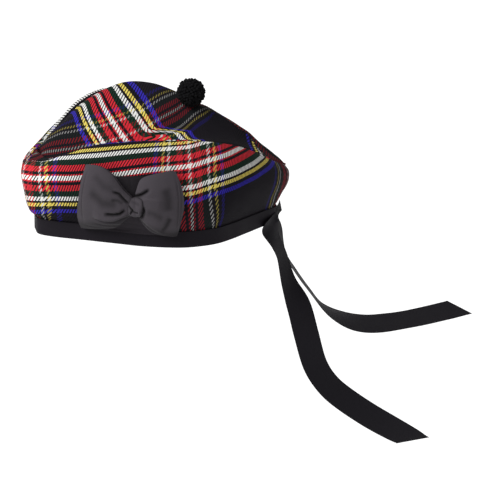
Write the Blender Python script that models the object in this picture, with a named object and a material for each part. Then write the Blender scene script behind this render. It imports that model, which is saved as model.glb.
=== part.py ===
# Glengarry cap in tartan, with a ribbon bow, a yarn pompom and two ribbon tails.
# Metres, +Z up. The front of the cap points to -X, and the wearer's left is -Y.
# The origin is the middle of the head opening, in the plane of the band's lower edge.
import math
from collections import namedtuple

import bmesh
import bpy
from mathutils import Vector

# Head opening and binding band
BAND_LENGTH = 0.2195
BAND_WIDTH = 0.160
BAND_HEIGHT = 0.0148
BAND_INSIDE_HEIGHT = 0.0125
BINDING_WALL = 0.0009
BINDING_FLOOR = 0.0012

# Cloth panels
CLOTH_WALL = 0.0016
GAP = 0.0003
HEM_LIFT = 0.0020
HEM_STAND = 0.0010
SIDE_BULGE = 0.0150
PANEL_ROLL = 0.0046
LEAST_MITRE = 0.45

# Crown seams, from the front tip to the back tip
CROWN_LENGTH = 0.2245
CROWN_SET_BACK = 0.0025
FRONT_TIP_HEIGHT = 0.076
BACK_TIP_HEIGHT = 0.052
NEAR_SEAM_OUT = 0.060
NEAR_SEAM_LIFT = 0.0275
FAR_SEAM_OUT = 0.051
FAR_SEAM_LIFT = 0.050
VALLEY_DEPTH = 0.019
CREST_LIFT = 0.020

# Bow
BOW_TURN = 0.397
BOW_SHARE = 0.342
BOW_CLEAR = 0.0005
BOW_RAMP = 0.0046
BOW_HALF_HEIGHT = 0.032
FRONT_LOOP_LENGTH = 0.0520
BACK_LOOP_LENGTH = 0.0393
LOOP_START = 0.0016
BOW_DEPTH = 0.0092
BOW_RIBBON_WALL = 0.0010
LAYER_GAP = 0.0007
LOOP_SHOULDER = 0.30
LOOP_EDGE_SPREAD = 1.5
PLEAT_FADE = 0.7
KNOT_HALF_WIDTH = 0.0072
KNOT_HALF_HEIGHT = 0.0115
KNOT_SET_BACK = 0.0022
KNOT_DROP = 0.0010
KNOT_RISE = 0.0036
KNOT_EDGE = 0.0010
KNOT_TWIST = 0.0012
KNOT_GROOVE_AT = -0.10
KNOT_GROOVE_WIDTH = 0.30
KNOT_GROOVE_SLANT = 0.90
KNOT_ROUNDNESS = 0.40
KNOT_LAP = 0.85

# Pompom
TOORIE_RADIUS = 0.0131
TOORIE_LOCKS = 64
TOORIE_LOCK_DEPTH = 0.0021
TOORIE_SQUASH = 0.0024
TOORIE_TURN = 0.591
TOORIE_ACROSS = 0.49

# Ribbon tails
TAIL_WIDTH = 0.0234
TAIL_WALL = 0.0010
TAIL_SEAT = 0.0018
LOWER_TAIL_REACH = 0.1500
LOWER_TAIL_DROP = 0.2280
LOWER_TAIL_SIDE = 0.0100
LOWER_TAIL_TURN = 0.925
UPPER_TAIL_REACH = 0.1760
UPPER_TAIL_DROP = 0.1180
UPPER_TAIL_SIDE = 0.0070
UPPER_TAIL_STAND = 0.0020
UPPER_TAIL_STEP = 0.0080

# Mesh fineness
STATIONS = 38
STATION_CROWDING = 0.03
PANEL_SHARES = (0, 0.07, 0.17, 0.30, 0.45, 0.60, 0.74, 0.85, 0.94, 1)
TOP_COLUMNS = 12
TIP_STATIONS = 4
LOOP_STEPS = 12
LOOP_COLUMNS = 10
TAIL_STEPS = 34
TAIL_COLUMNS = 2
KNOT_STEPS = 10
KNOT_COLUMNS = 8
BASE_STEPS = 8
BASE_COLUMNS = 11
SHARP_ANGLE = 50

# Small steps, as shares or metres, over which a surface's direction is read
PLAN_STEP = 0.004
TOP_STEP = 0.010
TAIL_STEP = 0.010
SKIN_TURN_STEP = 0.05
SKIN_SHARE_STEP = 0.20
BED_STEP = 0.004

# Finishes: a colour and a roughness for each material
MaterialRow = namedtuple("MaterialRow", "name colour roughness")
MATERIALS = [
    MaterialRow("tartan", (0.35, 0.03, 0.05), 0.85),
    MaterialRow("binding_ribbon", (0.020, 0.018, 0.022), 0.60),
    MaterialRow("bow_ribbon", (0.045, 0.042, 0.046), 0.55),
    MaterialRow("pompom_yarn", (0.006, 0.006, 0.007), 0.90),
]

# Half of the head opening's outline: turn runs from the front to the back,
# along is a share of the length and out a share of half the width.
PlanRow = namedtuple("PlanRow", "turn along out")
PLAN = [
    PlanRow(0.00, 0.000, 0.00),
    PlanRow(0.05, 0.006, 0.165),
    PlanRow(0.11, 0.060, 0.310),
    PlanRow(0.20, 0.158, 0.480),
    PlanRow(0.30, 0.275, 0.685),
    PlanRow(0.40, 0.385, 0.870),
    PlanRow(0.50, 0.500, 0.985),
    PlanRow(0.56, 0.575, 1.000),
    PlanRow(0.64, 0.675, 0.920),
    PlanRow(0.72, 0.755, 0.750),
    PlanRow(0.80, 0.828, 0.550),
    PlanRow(0.90, 0.925, 0.280),
    PlanRow(0.96, 0.984, 0.125),
    PlanRow(1.00, 1.000, 0.000),
]

# Crown seams: along is a share of the crown's length, out a share of the seam's
# greatest distance from the middle, and lift a share of its rise over the tips.
SeamRow = namedtuple("SeamRow", "turn along out lift")
NEAR_SEAM = [
    SeamRow(0.000, 0.000, 0.00, 0.00),
    SeamRow(0.050, 0.008, 0.24, -0.10),
    SeamRow(0.109, 0.031, 0.50, -0.10),
    SeamRow(0.189, 0.103, 0.74, 0.24),
    SeamRow(0.256, 0.175, 0.87, 0.55),
    SeamRow(0.317, 0.247, 0.95, 0.74),
    SeamRow(0.440, 0.404, 1.00, 0.93),
    SeamRow(0.609, 0.619, 0.95, 1.00),
    SeamRow(0.718, 0.749, 0.80, 0.87),
    SeamRow(0.806, 0.839, 0.60, 0.62),
    SeamRow(0.881, 0.906, 0.40, 0.33),
    SeamRow(1.000, 1.000, 0.00, 0.00),
]
FAR_SEAM = [
    SeamRow(0.000, 0.000, 0.00, 0.00),
    SeamRow(0.047, 0.012, 0.24, 0.00),
    SeamRow(0.104, 0.058, 0.43, 0.18),
    SeamRow(0.181, 0.121, 0.61, 0.445),
    SeamRow(0.258, 0.197, 0.75, 0.77),
    SeamRow(0.342, 0.296, 0.86, 0.99),
    SeamRow(0.429, 0.404, 0.96, 1.00),
    SeamRow(0.516, 0.511, 1.00, 0.92),
    SeamRow(0.606, 0.619, 1.00, 0.82),
    SeamRow(0.698, 0.726, 0.90, 0.68),
    SeamRow(0.796, 0.825, 0.69, 0.47),
    SeamRow(0.890, 0.906, 0.39, 0.24),
    SeamRow(1.000, 1.000, 0.00, 0.00),
]

# Profile of a side panel from the band up to the seam
BulgeRow = namedtuple("BulgeRow", "up out sag tuck")
BULGE = [
    BulgeRow(0.00, 0.00, 0.00, 0.00),
    BulgeRow(0.07, 0.26, 1.00, -0.40),
    BulgeRow(0.17, 0.55, 0.20, -0.85),
    BulgeRow(0.30, 0.80, -0.50, -1.00),
    BulgeRow(0.45, 0.97, -0.70, -0.50),
    BulgeRow(0.62, 1.00, -0.20, -0.10),
    BulgeRow(0.82, 0.74, 0.00, 0.00),
    BulgeRow(1.00, 0.00, 0.00, 0.00),
]
RollRow = namedtuple("RollRow", "up out")
ROLL = [
    RollRow(0.00, 0.00),
    RollRow(0.60, 0.10),
    RollRow(0.80, 0.62),
    RollRow(0.92, 1.00),
    RollRow(1.00, 0.00),
]

# Strength along each side of the bulge, of its sag over the band, of the tuck
# under it and of the rolled-over top edge
SideRow = namedtuple("SideRow", "turn near_bulge far_bulge sag tuck near_roll far_roll")
SIDES = [
    SideRow(0.00, 0.98, 0.98, 0.17, 0.00, 0.00, 0.00),
    SideRow(0.12, 0.94, 0.94, 0.15, 0.00, 0.10, 0.75),
    SideRow(0.25, 0.90, 0.90, 0.05, 0.00, 0.15, 1.00),
    SideRow(0.45, 1.00, 0.95, 0.00, 0.00, 0.15, 0.70),
    SideRow(0.70, 0.95, 0.90, 0.00, 0.00, 0.15, 0.40),
    SideRow(0.88, 0.76, 0.76, 0.00, 0.12, 0.10, 0.20),
    SideRow(1.00, 0.50, 0.50, 0.00, 0.28, 0.00, 0.00),
]

# Cross-sections of the top piece: a valley beside the near seam and a crest,
# each at a share of the way across, as shares of the two named heights.
TopRow = namedtuple("TopRow", "turn valley_at valley crest_at crest")
TOP = [
    TopRow(0.00, 0.25, 0.00, 0.70, 0.00),
    TopRow(0.08, 0.24, 0.18, 0.70, 0.10),
    TopRow(0.18, 0.22, 0.68, 0.72, 0.24),
    TopRow(0.26, 0.20, 0.92, 0.74, 0.32),
    TopRow(0.34, 0.20, 1.00, 0.76, 0.48),
    TopRow(0.43, 0.22, 0.88, 0.76, 0.80),
    TopRow(0.50, 0.26, 0.62, 0.66, 1.00),
    TopRow(0.57, 0.27, 0.34, 0.57, 0.92),
    TopRow(0.64, 0.22, 0.02, 0.44, 0.80),
    TopRow(0.71, 0.18, -0.16, 0.37, 0.65),
    TopRow(0.80, 0.18, -0.14, 0.34, 0.49),
    TopRow(0.90, 0.22, -0.08, 0.36, 0.31),
    TopRow(1.00, 0.25, 0.00, 0.50, 0.00),
]

# Ribbon loops of the bow, from the knot to the fold: top and bottom are shares
# of half the bow's height, and puff a share of its depth.
LoopRow = namedtuple("LoopRow", "reach top bottom puff")
FRONT_LOOP = [
    LoopRow(0.00, 0.14, -0.28, 0.52),
    LoopRow(0.10, 0.22, -0.33, 0.60),
    LoopRow(0.20, 0.44, -0.38, 0.78),
    LoopRow(0.31, 0.74, -0.43, 0.95),
    LoopRow(0.47, 0.92, -0.46, 1.00),
    LoopRow(0.65, 1.02, -0.54, 0.92),
    LoopRow(0.82, 1.06, -0.76, 0.78),
    LoopRow(1.00, 1.08, -0.91, 0.46),
]
BACK_LOOP = [
    LoopRow(0.00, 0.30, -0.34, 0.52),
    LoopRow(0.10, 0.60, -0.52, 0.72),
    LoopRow(0.22, 0.70, -0.66, 0.90),
    LoopRow(0.40, 0.75, -0.76, 1.00),
    LoopRow(0.60, 0.79, -0.84, 0.95),
    LoopRow(0.85, 0.83, -0.93, 0.74),
    LoopRow(1.00, 0.82, -0.92, 0.50),
]

# Outer edge of a loop: reach at each place across the ribbon
EdgeRow = namedtuple("EdgeRow", "across front back")
LOOP_EDGE = [
    EdgeRow(-1.0, 1.08, 0.86),
    EdgeRow(-0.5, 1.05, 0.94),
    EdgeRow(0.0, 0.97, 1.00),
    EdgeRow(0.5, 0.88, 0.97),
    EdgeRow(1.0, 0.77, 0.86),
]

# Pleats gathered into the knot: place across at the knot and at the fold,
# depth as a share of the bow's depth, and how far along the loop each one runs.
PleatRow = namedtuple("PleatRow", "near_knot at_fold width depth run")
FRONT_PLEATS = [
    PleatRow(0.45, 0.42, 0.14, 0.20, 0.45),
    PleatRow(-0.30, 0.10, 0.13, 0.22, 0.62),
]
BACK_PLEATS = [
    PleatRow(0.40, 0.42, 0.18, 0.18, 0.45),
    PleatRow(-0.40, -0.30, 0.14, 0.16, 0.60),
]

# Ends of the flat ribbon behind the loops, up from the knot as a share of half
# the bow's height, and along as shares of the front and the back loop's length
CornerRow = namedtuple("CornerRow", "up front back")
BASE_EDGES = [
    CornerRow(-0.96, 0.80, 0.72),
    CornerRow(-0.45, 0.78, 0.62),
    CornerRow(0.20, 0.62, 0.46),
    CornerRow(0.72, 0.40, 0.26),
]

# Ribbon tails: run is a share of the tail's length, and back, side and down are
# shares of its reach, side step and drop. The width direction is given by lean,
# in degrees up from level, and swing, in degrees from +X towards +Y.
TailRow = namedtuple("TailRow", "run back side down lean swing")
LOWER_TAIL = [
    TailRow(0.000, 0.000, 0.00, 0.000, 38, 50),
    TailRow(0.087, 0.038, 0.50, 0.098, -12, 53),
    TailRow(0.149, 0.085, 0.80, 0.168, -9, 54),
    TailRow(0.238, 0.132, 0.70, 0.284, -13, 39),
    TailRow(0.322, 0.196, 0.50, 0.385, 0, 8),
    TailRow(0.427, 0.241, 0.30, 0.497, 9, -2),
    TailRow(0.517, 0.297, 0.30, 0.623, 7, 5),
    TailRow(0.586, 0.361, 0.30, 0.699, 17, 14),
    TailRow(0.665, 0.457, 0.40, 0.768, 39, 18),
    TailRow(0.792, 0.665, 0.50, 0.872, 58, 10),
    TailRow(0.946, 0.919, 0.70, 0.980, 46, -20),
    TailRow(1.000, 0.966, 0.80, 1.003, 47, -16),
]
UPPER_TAIL = [
    TailRow(0.000, 0.013, 0.00, -0.035, 30, -80),
    TailRow(0.040, -0.008, 0.30, 0.050, 28, -86),
    TailRow(0.085, 0.007, 0.55, 0.170, 24, -90),
    TailRow(0.166, 0.039, 0.50, 0.345, 17, -98),
    TailRow(0.250, 0.093, 0.30, 0.486, 17, -98),
    TailRow(0.334, 0.163, 0.15, 0.638, 16, -97),
    TailRow(0.426, 0.235, 0.29, 0.770, 16, -96),
    TailRow(0.519, 0.344, 0.57, 0.898, 33, -75),
    TailRow(0.618, 0.470, 0.86, 0.981, 54, -59),
    TailRow(0.724, 0.606, 1.00, 0.997, 66, -64),
    TailRow(0.843, 0.785, 1.00, 0.968, 66, -109),
    TailRow(0.942, 0.960, 0.86, 0.920, 67, -116),
    TailRow(1.000, 1.030, 0.71, 0.895, 69, -113),
]
# Slanted ends, as a share of the tail's width by which one edge runs on
LOWER_TAIL_SLANT = 0.95
UPPER_TAIL_SLANT = -0.95
SLANT_START = 0.90


def smooth_value(rows, column, at):
    """Reads a column of a table at a place between its rows, on a smooth curve."""
    keys = [row[0] for row in rows]
    values = [getattr(row, column) for row in rows]
    if at <= keys[0]:
        return values[0]
    if at >= keys[-1]:
        return values[-1]
    last = len(rows) - 1
    low = max(i for i in range(last) if keys[i] <= at)

    def slope(i):
        before, after = max(i - 1, 0), min(i + 1, last)
        return (values[after] - values[before]) / (keys[after] - keys[before])

    width = keys[low + 1] - keys[low]
    t = (at - keys[low]) / width
    start, end = slope(low) * width, slope(low + 1) * width
    return (
        values[low] * (2 * t**3 - 3 * t**2 + 1)
        + start * (t**3 - 2 * t**2 + t)
        + values[low + 1] * (3 * t**2 - 2 * t**3)
        + end * (t**3 - t**2)
    )


def with_mirrored_ends(rows):
    """Adds a mirrored row past each end, so that the outline rounds its front and back."""
    first, last = rows[1], rows[-2]
    front = PlanRow(-first.turn, first.along, -first.out)
    back = PlanRow(2 - last.turn, last.along, -last.out)
    return [front] + rows + [back]


ROUND_PLAN = with_mirrored_ends(PLAN)


def station_turn(index, count=STATIONS):
    """Spreads the stations, a little closer together at the front and the back."""
    t = index / count
    return t - STATION_CROWDING * math.sin(2 * math.pi * t)


def plan_raw(turn, side):
    along = smooth_value(ROUND_PLAN, "along", turn)
    out = smooth_value(ROUND_PLAN, "out", turn)
    return Vector(((along - 0.5) * BAND_LENGTH, side * out * BAND_WIDTH / 2, 0))


def plan_outward(turn, side):
    """Level direction that points out of the head opening."""
    along = plan_raw(turn + PLAN_STEP, 1) - plan_raw(turn - PLAN_STEP, 1)
    if turn in (0, 1):
        along.x = 0
    return Vector((-along.y, side * along.x, 0)).normalized()


def plan_point(turn, side, inset, height):
    return plan_raw(turn, side) - plan_outward(turn, side) * inset + Vector((0, 0, height))


def seam_point(turn, side):
    """Point on the seam between a side panel and the top piece."""
    rows = NEAR_SEAM if side < 0 else FAR_SEAM
    out = NEAR_SEAM_OUT if side < 0 else FAR_SEAM_OUT
    lift = NEAR_SEAM_LIFT if side < 0 else FAR_SEAM_LIFT
    along = smooth_value(rows, "along", turn)
    tip_line = FRONT_TIP_HEIGHT + (BACK_TIP_HEIGHT - FRONT_TIP_HEIGHT) * along
    return Vector((
        -BAND_LENGTH / 2 + CROWN_SET_BACK + along * CROWN_LENGTH,
        side * out * smooth_value(rows, "out", turn),
        tip_line + lift * smooth_value(rows, "lift", turn),
    ))


PANEL_INSET = BINDING_WALL + GAP


def panel_point(turn, side, share):
    """Point on a side panel's outer skin, share of the way from the band to the seam."""
    name = "near" if side < 0 else "far"
    low = plan_point(turn, side, PANEL_INSET, BAND_HEIGHT + HEM_STAND)
    high = seam_point(turn, side)
    if share < 0:
        return low + Vector((0, 0, (high.z - low.z) * share))
    bulge = SIDE_BULGE * smooth_value(SIDES, name + "_bulge", turn)
    roll = PANEL_ROLL * smooth_value(SIDES, name + "_roll", turn)
    point = low.lerp(high, share)
    out = smooth_value(BULGE, "out", share)
    for shape in ("sag", "tuck"):
        out += smooth_value(SIDES, shape, turn) * smooth_value(BULGE, shape, share)
    point += plan_outward(turn, side) * bulge * out
    point.z += roll * smooth_value(ROLL, "out", share)
    return point


def top_point(turn, across):
    """Point on the top piece, across from the near seam (0) to the far seam (1)."""
    point = seam_point(turn, -1).lerp(seam_point(turn, 1), across)
    valley = -VALLEY_DEPTH * smooth_value(TOP, "valley", turn)
    crest = CREST_LIFT * smooth_value(TOP, "crest", turn)
    profile = [
        RollRow(0.0, 0.0),
        RollRow(smooth_value(TOP, "valley_at", turn), valley),
        RollRow(smooth_value(TOP, "crest_at", turn), crest),
        RollRow(1.0, 0.0),
    ]
    point.z += smooth_value(profile, "out", across)
    return point


def grid_normals(grid):
    """Unit normals of a grid of points, turned so that they follow the grid's winding."""
    rows, columns = len(grid), len(grid[0])
    normals = []
    for i in range(rows):
        line = []
        for j in range(columns):
            along = grid[min(i + 1, rows - 1)][j] - grid[max(i - 1, 0)][j]
            across = grid[i][min(j + 1, columns - 1)] - grid[i][max(j - 1, 0)]
            line.append(along.cross(across).normalized())
        normals.append(line)
    return normals


def new_material(name, colour, roughness):
    material = bpy.data.materials.new(name)
    material.use_nodes = True
    shader = material.node_tree.nodes["Principled BSDF"]
    shader.inputs["Base Color"].default_value = (*colour, 1)
    shader.inputs["Roughness"].default_value = roughness
    shader.inputs["Metallic"].default_value = 0
    material.diffuse_color = (*colour, 1)
    return material


def add_object(name, mesh_data, material):
    """Makes an object from a bmesh, closed and smooth except at its sharp edges."""
    bmesh.ops.remove_doubles(mesh_data, verts=mesh_data.verts, dist=1e-6)
    bmesh.ops.recalc_face_normals(mesh_data, faces=mesh_data.faces)
    mesh = bpy.data.meshes.new(name)
    mesh_data.to_mesh(mesh)
    mesh_data.free()
    mesh.materials.append(material)
    mesh.shade_smooth()
    mesh.set_sharp_from_angle(angle=math.radians(SHARP_ANGLE))
    obj = bpy.data.objects.new(name, mesh)
    bpy.context.scene.collection.objects.link(obj)
    return obj


def bridge_rows(data, low, high):
    """Faces between two rows of vertices, which may differ in number."""
    if len(low) == len(high):
        for j in range(len(low) - 1):
            data.faces.new((low[j], high[j], high[j + 1], low[j + 1]))
        return
    i = j = 0
    while i < len(low) - 1 or j < len(high) - 1:
        next_low = (i + 1) / (len(low) - 1)
        next_high = (j + 1) / (len(high) - 1)
        if j == len(high) - 1 or (i < len(low) - 1 and next_low <= next_high):
            data.faces.new((low[i], high[j], low[i + 1]))
            i += 1
        else:
            data.faces.new((low[i], high[j], high[j + 1]))
            j += 1


def skin_wall(outer, inner):
    """A closed wall between two skins, each given as rows of points."""
    data = bmesh.new()
    skins = [[[data.verts.new(p) for p in line] for line in rows] for rows in (outer, inner)]
    for skin in skins:
        for low, high in zip(skin, skin[1:]):
            bridge_rows(data, low, high)
    last = len(outer) - 1
    rim = [(i, 0) for i in range(last + 1)]
    rim += [(last, j) for j in range(1, len(outer[last]))]
    rim += [(i, len(outer[i]) - 1) for i in range(last - 1, -1, -1)]
    rim += [(0, j) for j in range(len(outer[0]) - 2, 0, -1)]
    for here, there in zip(rim, rim[1:] + rim[:1]):
        a, b = skins[0][here[0]][here[1]], skins[0][there[0]][there[1]]
        c, d = skins[1][there[0]][there[1]], skins[1][here[0]][here[1]]
        data.faces.new((a, b, c, d))
    bmesh.ops.triangulate(data, faces=data.faces, quad_method="FIXED")
    return data


def skin_normals(rows):
    """Normals of a skin at each of its points, from the faces round it."""
    data = bmesh.new()
    verts = [[data.verts.new(p) for p in line] for line in rows]
    for low, high in zip(verts, verts[1:]):
        bridge_rows(data, low, high)
    bmesh.ops.recalc_face_normals(data, faces=data.faces)
    data.normal_update()
    normals = [[v.normal.copy() for v in line] for line in verts]
    data.free()
    return normals


def closed_ring(sections):
    """A closed ring through a list of sections, each a closed loop of points."""
    data = bmesh.new()
    loops = [[data.verts.new(p) for p in section] for section in sections]
    count = len(sections[0])
    for here, there in zip(loops, loops[1:] + loops[:1]):
        for j in range(count):
            k = (j + 1) % count
            data.faces.new((here[j], there[j], there[k], here[k]))
    bmesh.ops.triangulate(data, faces=data.faces, quad_method="FIXED")
    return data


def panel_grid(side):
    """Outer skin of a side panel: hem rows inside the binding, then up to the seam."""
    grid = []
    for i in range(STATIONS + 1):
        turn = station_turn(i)
        hem = plan_point(turn, side, PANEL_INSET, HEM_LIFT)
        grid.append([hem] + [panel_point(turn, side, share) for share in PANEL_SHARES])
    return grid


def top_rows():
    """Skin of the top piece: rounded tips along the seam, and rows across between them."""
    front = [seam_point(station_turn(i), -1) for i in range(TIP_STATIONS - 1, 0, -1)]
    front += [seam_point(station_turn(i), 1) for i in range(TIP_STATIONS)]
    last = STATIONS - TIP_STATIONS
    back = [seam_point(station_turn(i), -1) for i in range(last + 1, STATIONS)]
    back += [seam_point(station_turn(i), 1) for i in range(STATIONS, last, -1)]
    middle = [
        [top_point(station_turn(i), j / TOP_COLUMNS) for j in range(TOP_COLUMNS + 1)]
        for i in range(TIP_STATIONS, last + 1)
    ]
    return [front] + middle + [back]


def top_seam_place(i, side):
    """Row and column of the top piece's skin that lies on station i of a seam."""
    last = STATIONS - TIP_STATIONS
    if i < TIP_STATIONS:
        return 0, TIP_STATIONS - 1 + side * i
    if i > last:
        return last - TIP_STATIONS + 2, TIP_STATIONS - 1 + side * (STATIONS - i)
    return i - TIP_STATIONS + 1, 0 if side < 0 else TOP_COLUMNS


def panel_skin_normals(grid, side):
    """Outward normals of a side panel, level with the middle plane at its two end seams."""
    normals = [[n * -side for n in line] for line in grid_normals(grid)]
    for end in (0, -1):
        for n in normals[end]:
            n.y = 0
            n.normalize()
    return normals


def mitre(point, side_normal, top_normal):
    """Inner point of a seam, where the inner skins of both pieces meet."""
    both = side_normal + top_normal
    spread = max(1 + side_normal.dot(top_normal), LEAST_MITRE)
    return point - both * (CLOTH_WALL / spread)


def seam_shift(line, inner_line, i, toward):
    """Half of the gap at a seam, square to the face where the two pieces meet."""
    along = line[min(i + 1, len(line) - 1)] - line[max(i - 1, 0)]
    square = along.cross(inner_line[i] - line[i]).normalized()
    if square.dot(toward) < 0:
        square = -square
    return square * (GAP / 2)


def build_crown(tartan):
    """Both side panels and the top piece, as walls that meet at mitred seams."""
    top = top_rows()
    top_normals = skin_normals(top)
    if top_normals[len(top) // 2][0].z < 0:
        top_normals = [[-n for n in line] for line in top_normals]
    top_outer = [[p.copy() for p in line] for line in top]
    top_inner = [
        [p - n * CLOTH_WALL for p, n in zip(points, normals)]
        for points, normals in zip(top, top_normals)
    ]
    for side, name in ((-1, "side_panel_left"), (1, "side_panel_right")):
        grid = panel_grid(side)
        normals = panel_skin_normals(grid, side)
        inner = [
            [p - n * CLOTH_WALL for p, n in zip(points, line)]
            for points, line in zip(grid, normals)
        ]
        seam = [line[-1].copy() for line in grid]
        places = [top_seam_place(i, side) for i in range(STATIONS + 1)]
        seam_top_normals = [top_normals[row][column] for row, column in places]
        for end in (0, -1):
            seam_top_normals[end].y = 0
            seam_top_normals[end].normalize()
        seam_inner = [mitre(p, line[-1], n) for p, line, n in zip(seam, normals, seam_top_normals)]
        for i, (row, column) in enumerate(places):
            shift = seam_shift(seam, seam_inner, i, grid[i][-2] - seam[i])
            if i in (0, STATIONS):
                shift.y = 0
            grid[i][-1] = seam[i] + shift
            inner[i][-1] = seam_inner[i] + shift
            top_outer[row][column] = seam[i] - shift
            top_inner[row][column] = seam_inner[i] - shift
        for end in (0, -1):
            for p in grid[end] + inner[end]:
                p.y = side * GAP / 2
        add_object(name, skin_wall(grid, inner), tartan)
    add_object("crown_top", skin_wall(top_outer, top_inner), tartan)


def build_headband(ribbon):
    """The binding: a ribbon folded over the panels' lower edge, as a U-shaped section."""
    slot = CLOTH_WALL + 2 * GAP
    outline = [
        (0, 0),
        (0, BAND_HEIGHT),
        (BINDING_WALL, BAND_HEIGHT),
        (BINDING_WALL, BINDING_FLOOR),
        (BINDING_WALL + slot, BINDING_FLOOR),
        (BINDING_WALL + slot, BAND_INSIDE_HEIGHT),
        (2 * BINDING_WALL + slot, BAND_INSIDE_HEIGHT),
        (2 * BINDING_WALL + slot, 0),
    ]
    sections = []
    for side, steps in ((-1, range(STATIONS)), (1, range(STATIONS, 0, -1))):
        for i in steps:
            turn = station_turn(i)
            sections.append([plan_point(turn, side, inset, z) for inset, z in outline])
    add_object("headband", closed_ring(sections), ribbon)


def bow_skin(along, up):
    """Point of the side panel at a distance along and up from the middle of the bow."""
    before = panel_point(BOW_TURN - SKIN_TURN_STEP, -1, BOW_SHARE)
    after = panel_point(BOW_TURN + SKIN_TURN_STEP, -1, BOW_SHARE)
    below = panel_point(BOW_TURN, -1, BOW_SHARE - SKIN_SHARE_STEP)
    above = panel_point(BOW_TURN, -1, BOW_SHARE + SKIN_SHARE_STEP)
    turn = BOW_TURN + 2 * SKIN_TURN_STEP * along / (after - before).length
    share = BOW_SHARE + 2 * SKIN_SHARE_STEP * up / (above - below).length
    return panel_point(turn, -1, share)


def bow_bed(along, up):
    """Point and outward normal of the surface that the bow lies on."""
    across = bow_skin(along + BED_STEP, up) - bow_skin(along - BED_STEP, up)
    upward = bow_skin(along, up + BED_STEP) - bow_skin(along, up - BED_STEP)
    normal = across.cross(upward).normalized()
    point = bow_skin(along, up)
    band_step = PANEL_INSET + GAP
    over_band = min(max((BAND_HEIGHT + BOW_RAMP - point.z) / BOW_RAMP, 0), 1)
    return point + normal * (BOW_CLEAR + band_step * over_band), normal


def on_bed(along, up, out):
    point, normal = bow_bed(along, up)
    return point + normal * out


def pleat_relief(pleats, reach, across):
    """Depth of the pleats at one place of a loop, deepest beside the knot."""
    total = 0
    for row in pleats:
        centre = row.near_knot + (row.at_fold - row.near_knot) * reach
        fade = max(1 - reach / row.run, 0) ** PLEAT_FADE
        total += row.depth * fade * math.exp(-(((across - centre) / row.width) ** 2))
    return total * BOW_DEPTH


Loop = namedtuple("Loop", "name rows edge pleats length direction")
LOOPS = [
    Loop("bow_loop_front", FRONT_LOOP, "front", FRONT_PLEATS, FRONT_LOOP_LENGTH, -1),
    Loop("bow_loop_back", BACK_LOOP, "back", BACK_PLEATS, BACK_LOOP_LENGTH, 1),
]


def loop_level(loop, reach, across):
    """Height of a loop's front layer over the surface under the bow."""
    flattened = 2 * BOW_RIBBON_WALL + LAYER_GAP
    puff = smooth_value(loop.rows, "puff", reach) * BOW_DEPTH * (1 - LOOP_SHOULDER * across**4)
    puff -= pleat_relief(loop.pleats, reach, across)
    return BOW_RIBBON_WALL + LAYER_GAP + max(puff, flattened)


def loop_grid(loop):
    """Outer skin of a folded ribbon loop: front layer, fold, then the back layer."""
    grid = []
    steps = [(i / LOOP_STEPS, True) for i in range(LOOP_STEPS + 1)]
    steps += [(1 - i / LOOP_STEPS, False) for i in range(LOOP_STEPS + 1)]
    for reach, front in steps:
        top = smooth_value(loop.rows, "top", reach) * BOW_HALF_HEIGHT
        bottom = smooth_value(loop.rows, "bottom", reach) * BOW_HALF_HEIGHT
        line = []
        for j in range(LOOP_COLUMNS + 1):
            across = 2 * j / LOOP_COLUMNS - 1
            end = smooth_value(LOOP_EDGE, loop.edge, across)
            stretch = reach * (1 + (end - 1) * reach**LOOP_EDGE_SPREAD)
            along = LOOP_START + (loop.length - LOOP_START) * stretch
            up = (top + bottom) / 2 + (top - bottom) / 2 * across
            level = loop_level(loop, reach, across) if front else BOW_RIBBON_WALL + LAYER_GAP
            line.append(Vector((loop.direction * along, up, level)))
        grid.append(line)
    return grid


def build_loop(loop, ribbon):
    """A ribbon loop: its skin is moved inwards by the ribbon's thickness."""
    flat = loop_grid(loop)
    normals = [[n * loop.direction for n in line] for line in grid_normals(flat)]
    outward = Vector((loop.direction, 0, 0))
    for j in range(LOOP_COLUMNS + 1):
        normals[LOOP_STEPS][j] = outward + Vector((0, 0, 1))
        normals[LOOP_STEPS + 1][j] = outward - Vector((0, 0, 1))
    outer = [[on_bed(*p) for p in line] for line in flat]
    inner = [
        [on_bed(*(p - n * BOW_RIBBON_WALL)) for p, n in zip(points, line)]
        for points, line in zip(flat, normals)
    ]
    add_object(loop.name, skin_wall(outer, inner), ribbon)


def build_bow_base(ribbon):
    """The flat ribbon behind the loops, from the notch down over the band's edge."""
    outer, inner = [], []
    for i in range(BASE_STEPS + 1):
        up = BASE_EDGES[0].up + (BASE_EDGES[-1].up - BASE_EDGES[0].up) * i / BASE_STEPS
        front = -smooth_value(BASE_EDGES, "front", up) * FRONT_LOOP_LENGTH
        back = smooth_value(BASE_EDGES, "back", up) * BACK_LOOP_LENGTH
        across = [front + (back - front) * j / BASE_COLUMNS for j in range(BASE_COLUMNS + 1)]
        outer.append([on_bed(a, up * BOW_HALF_HEIGHT, BOW_RIBBON_WALL) for a in across])
        inner.append([on_bed(a, up * BOW_HALF_HEIGHT, 0) for a in across])
    add_object("bow_base", skin_wall(outer, inner), ribbon)


def under_knot(along, up):
    """Height of the loops' necks under the knot."""
    loop = LOOPS[0] if along < 0 else LOOPS[1]
    reach = max(abs(along) - LOOP_START, 0) / (loop.length - LOOP_START)
    top = smooth_value(loop.rows, "top", reach) * BOW_HALF_HEIGHT
    bottom = smooth_value(loop.rows, "bottom", reach) * BOW_HALF_HEIGHT
    across = (up - (top + bottom) / 2) / ((top - bottom) / 2)
    return loop_level(loop, reach, min(max(across, -KNOT_LAP), KNOT_LAP))


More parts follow.
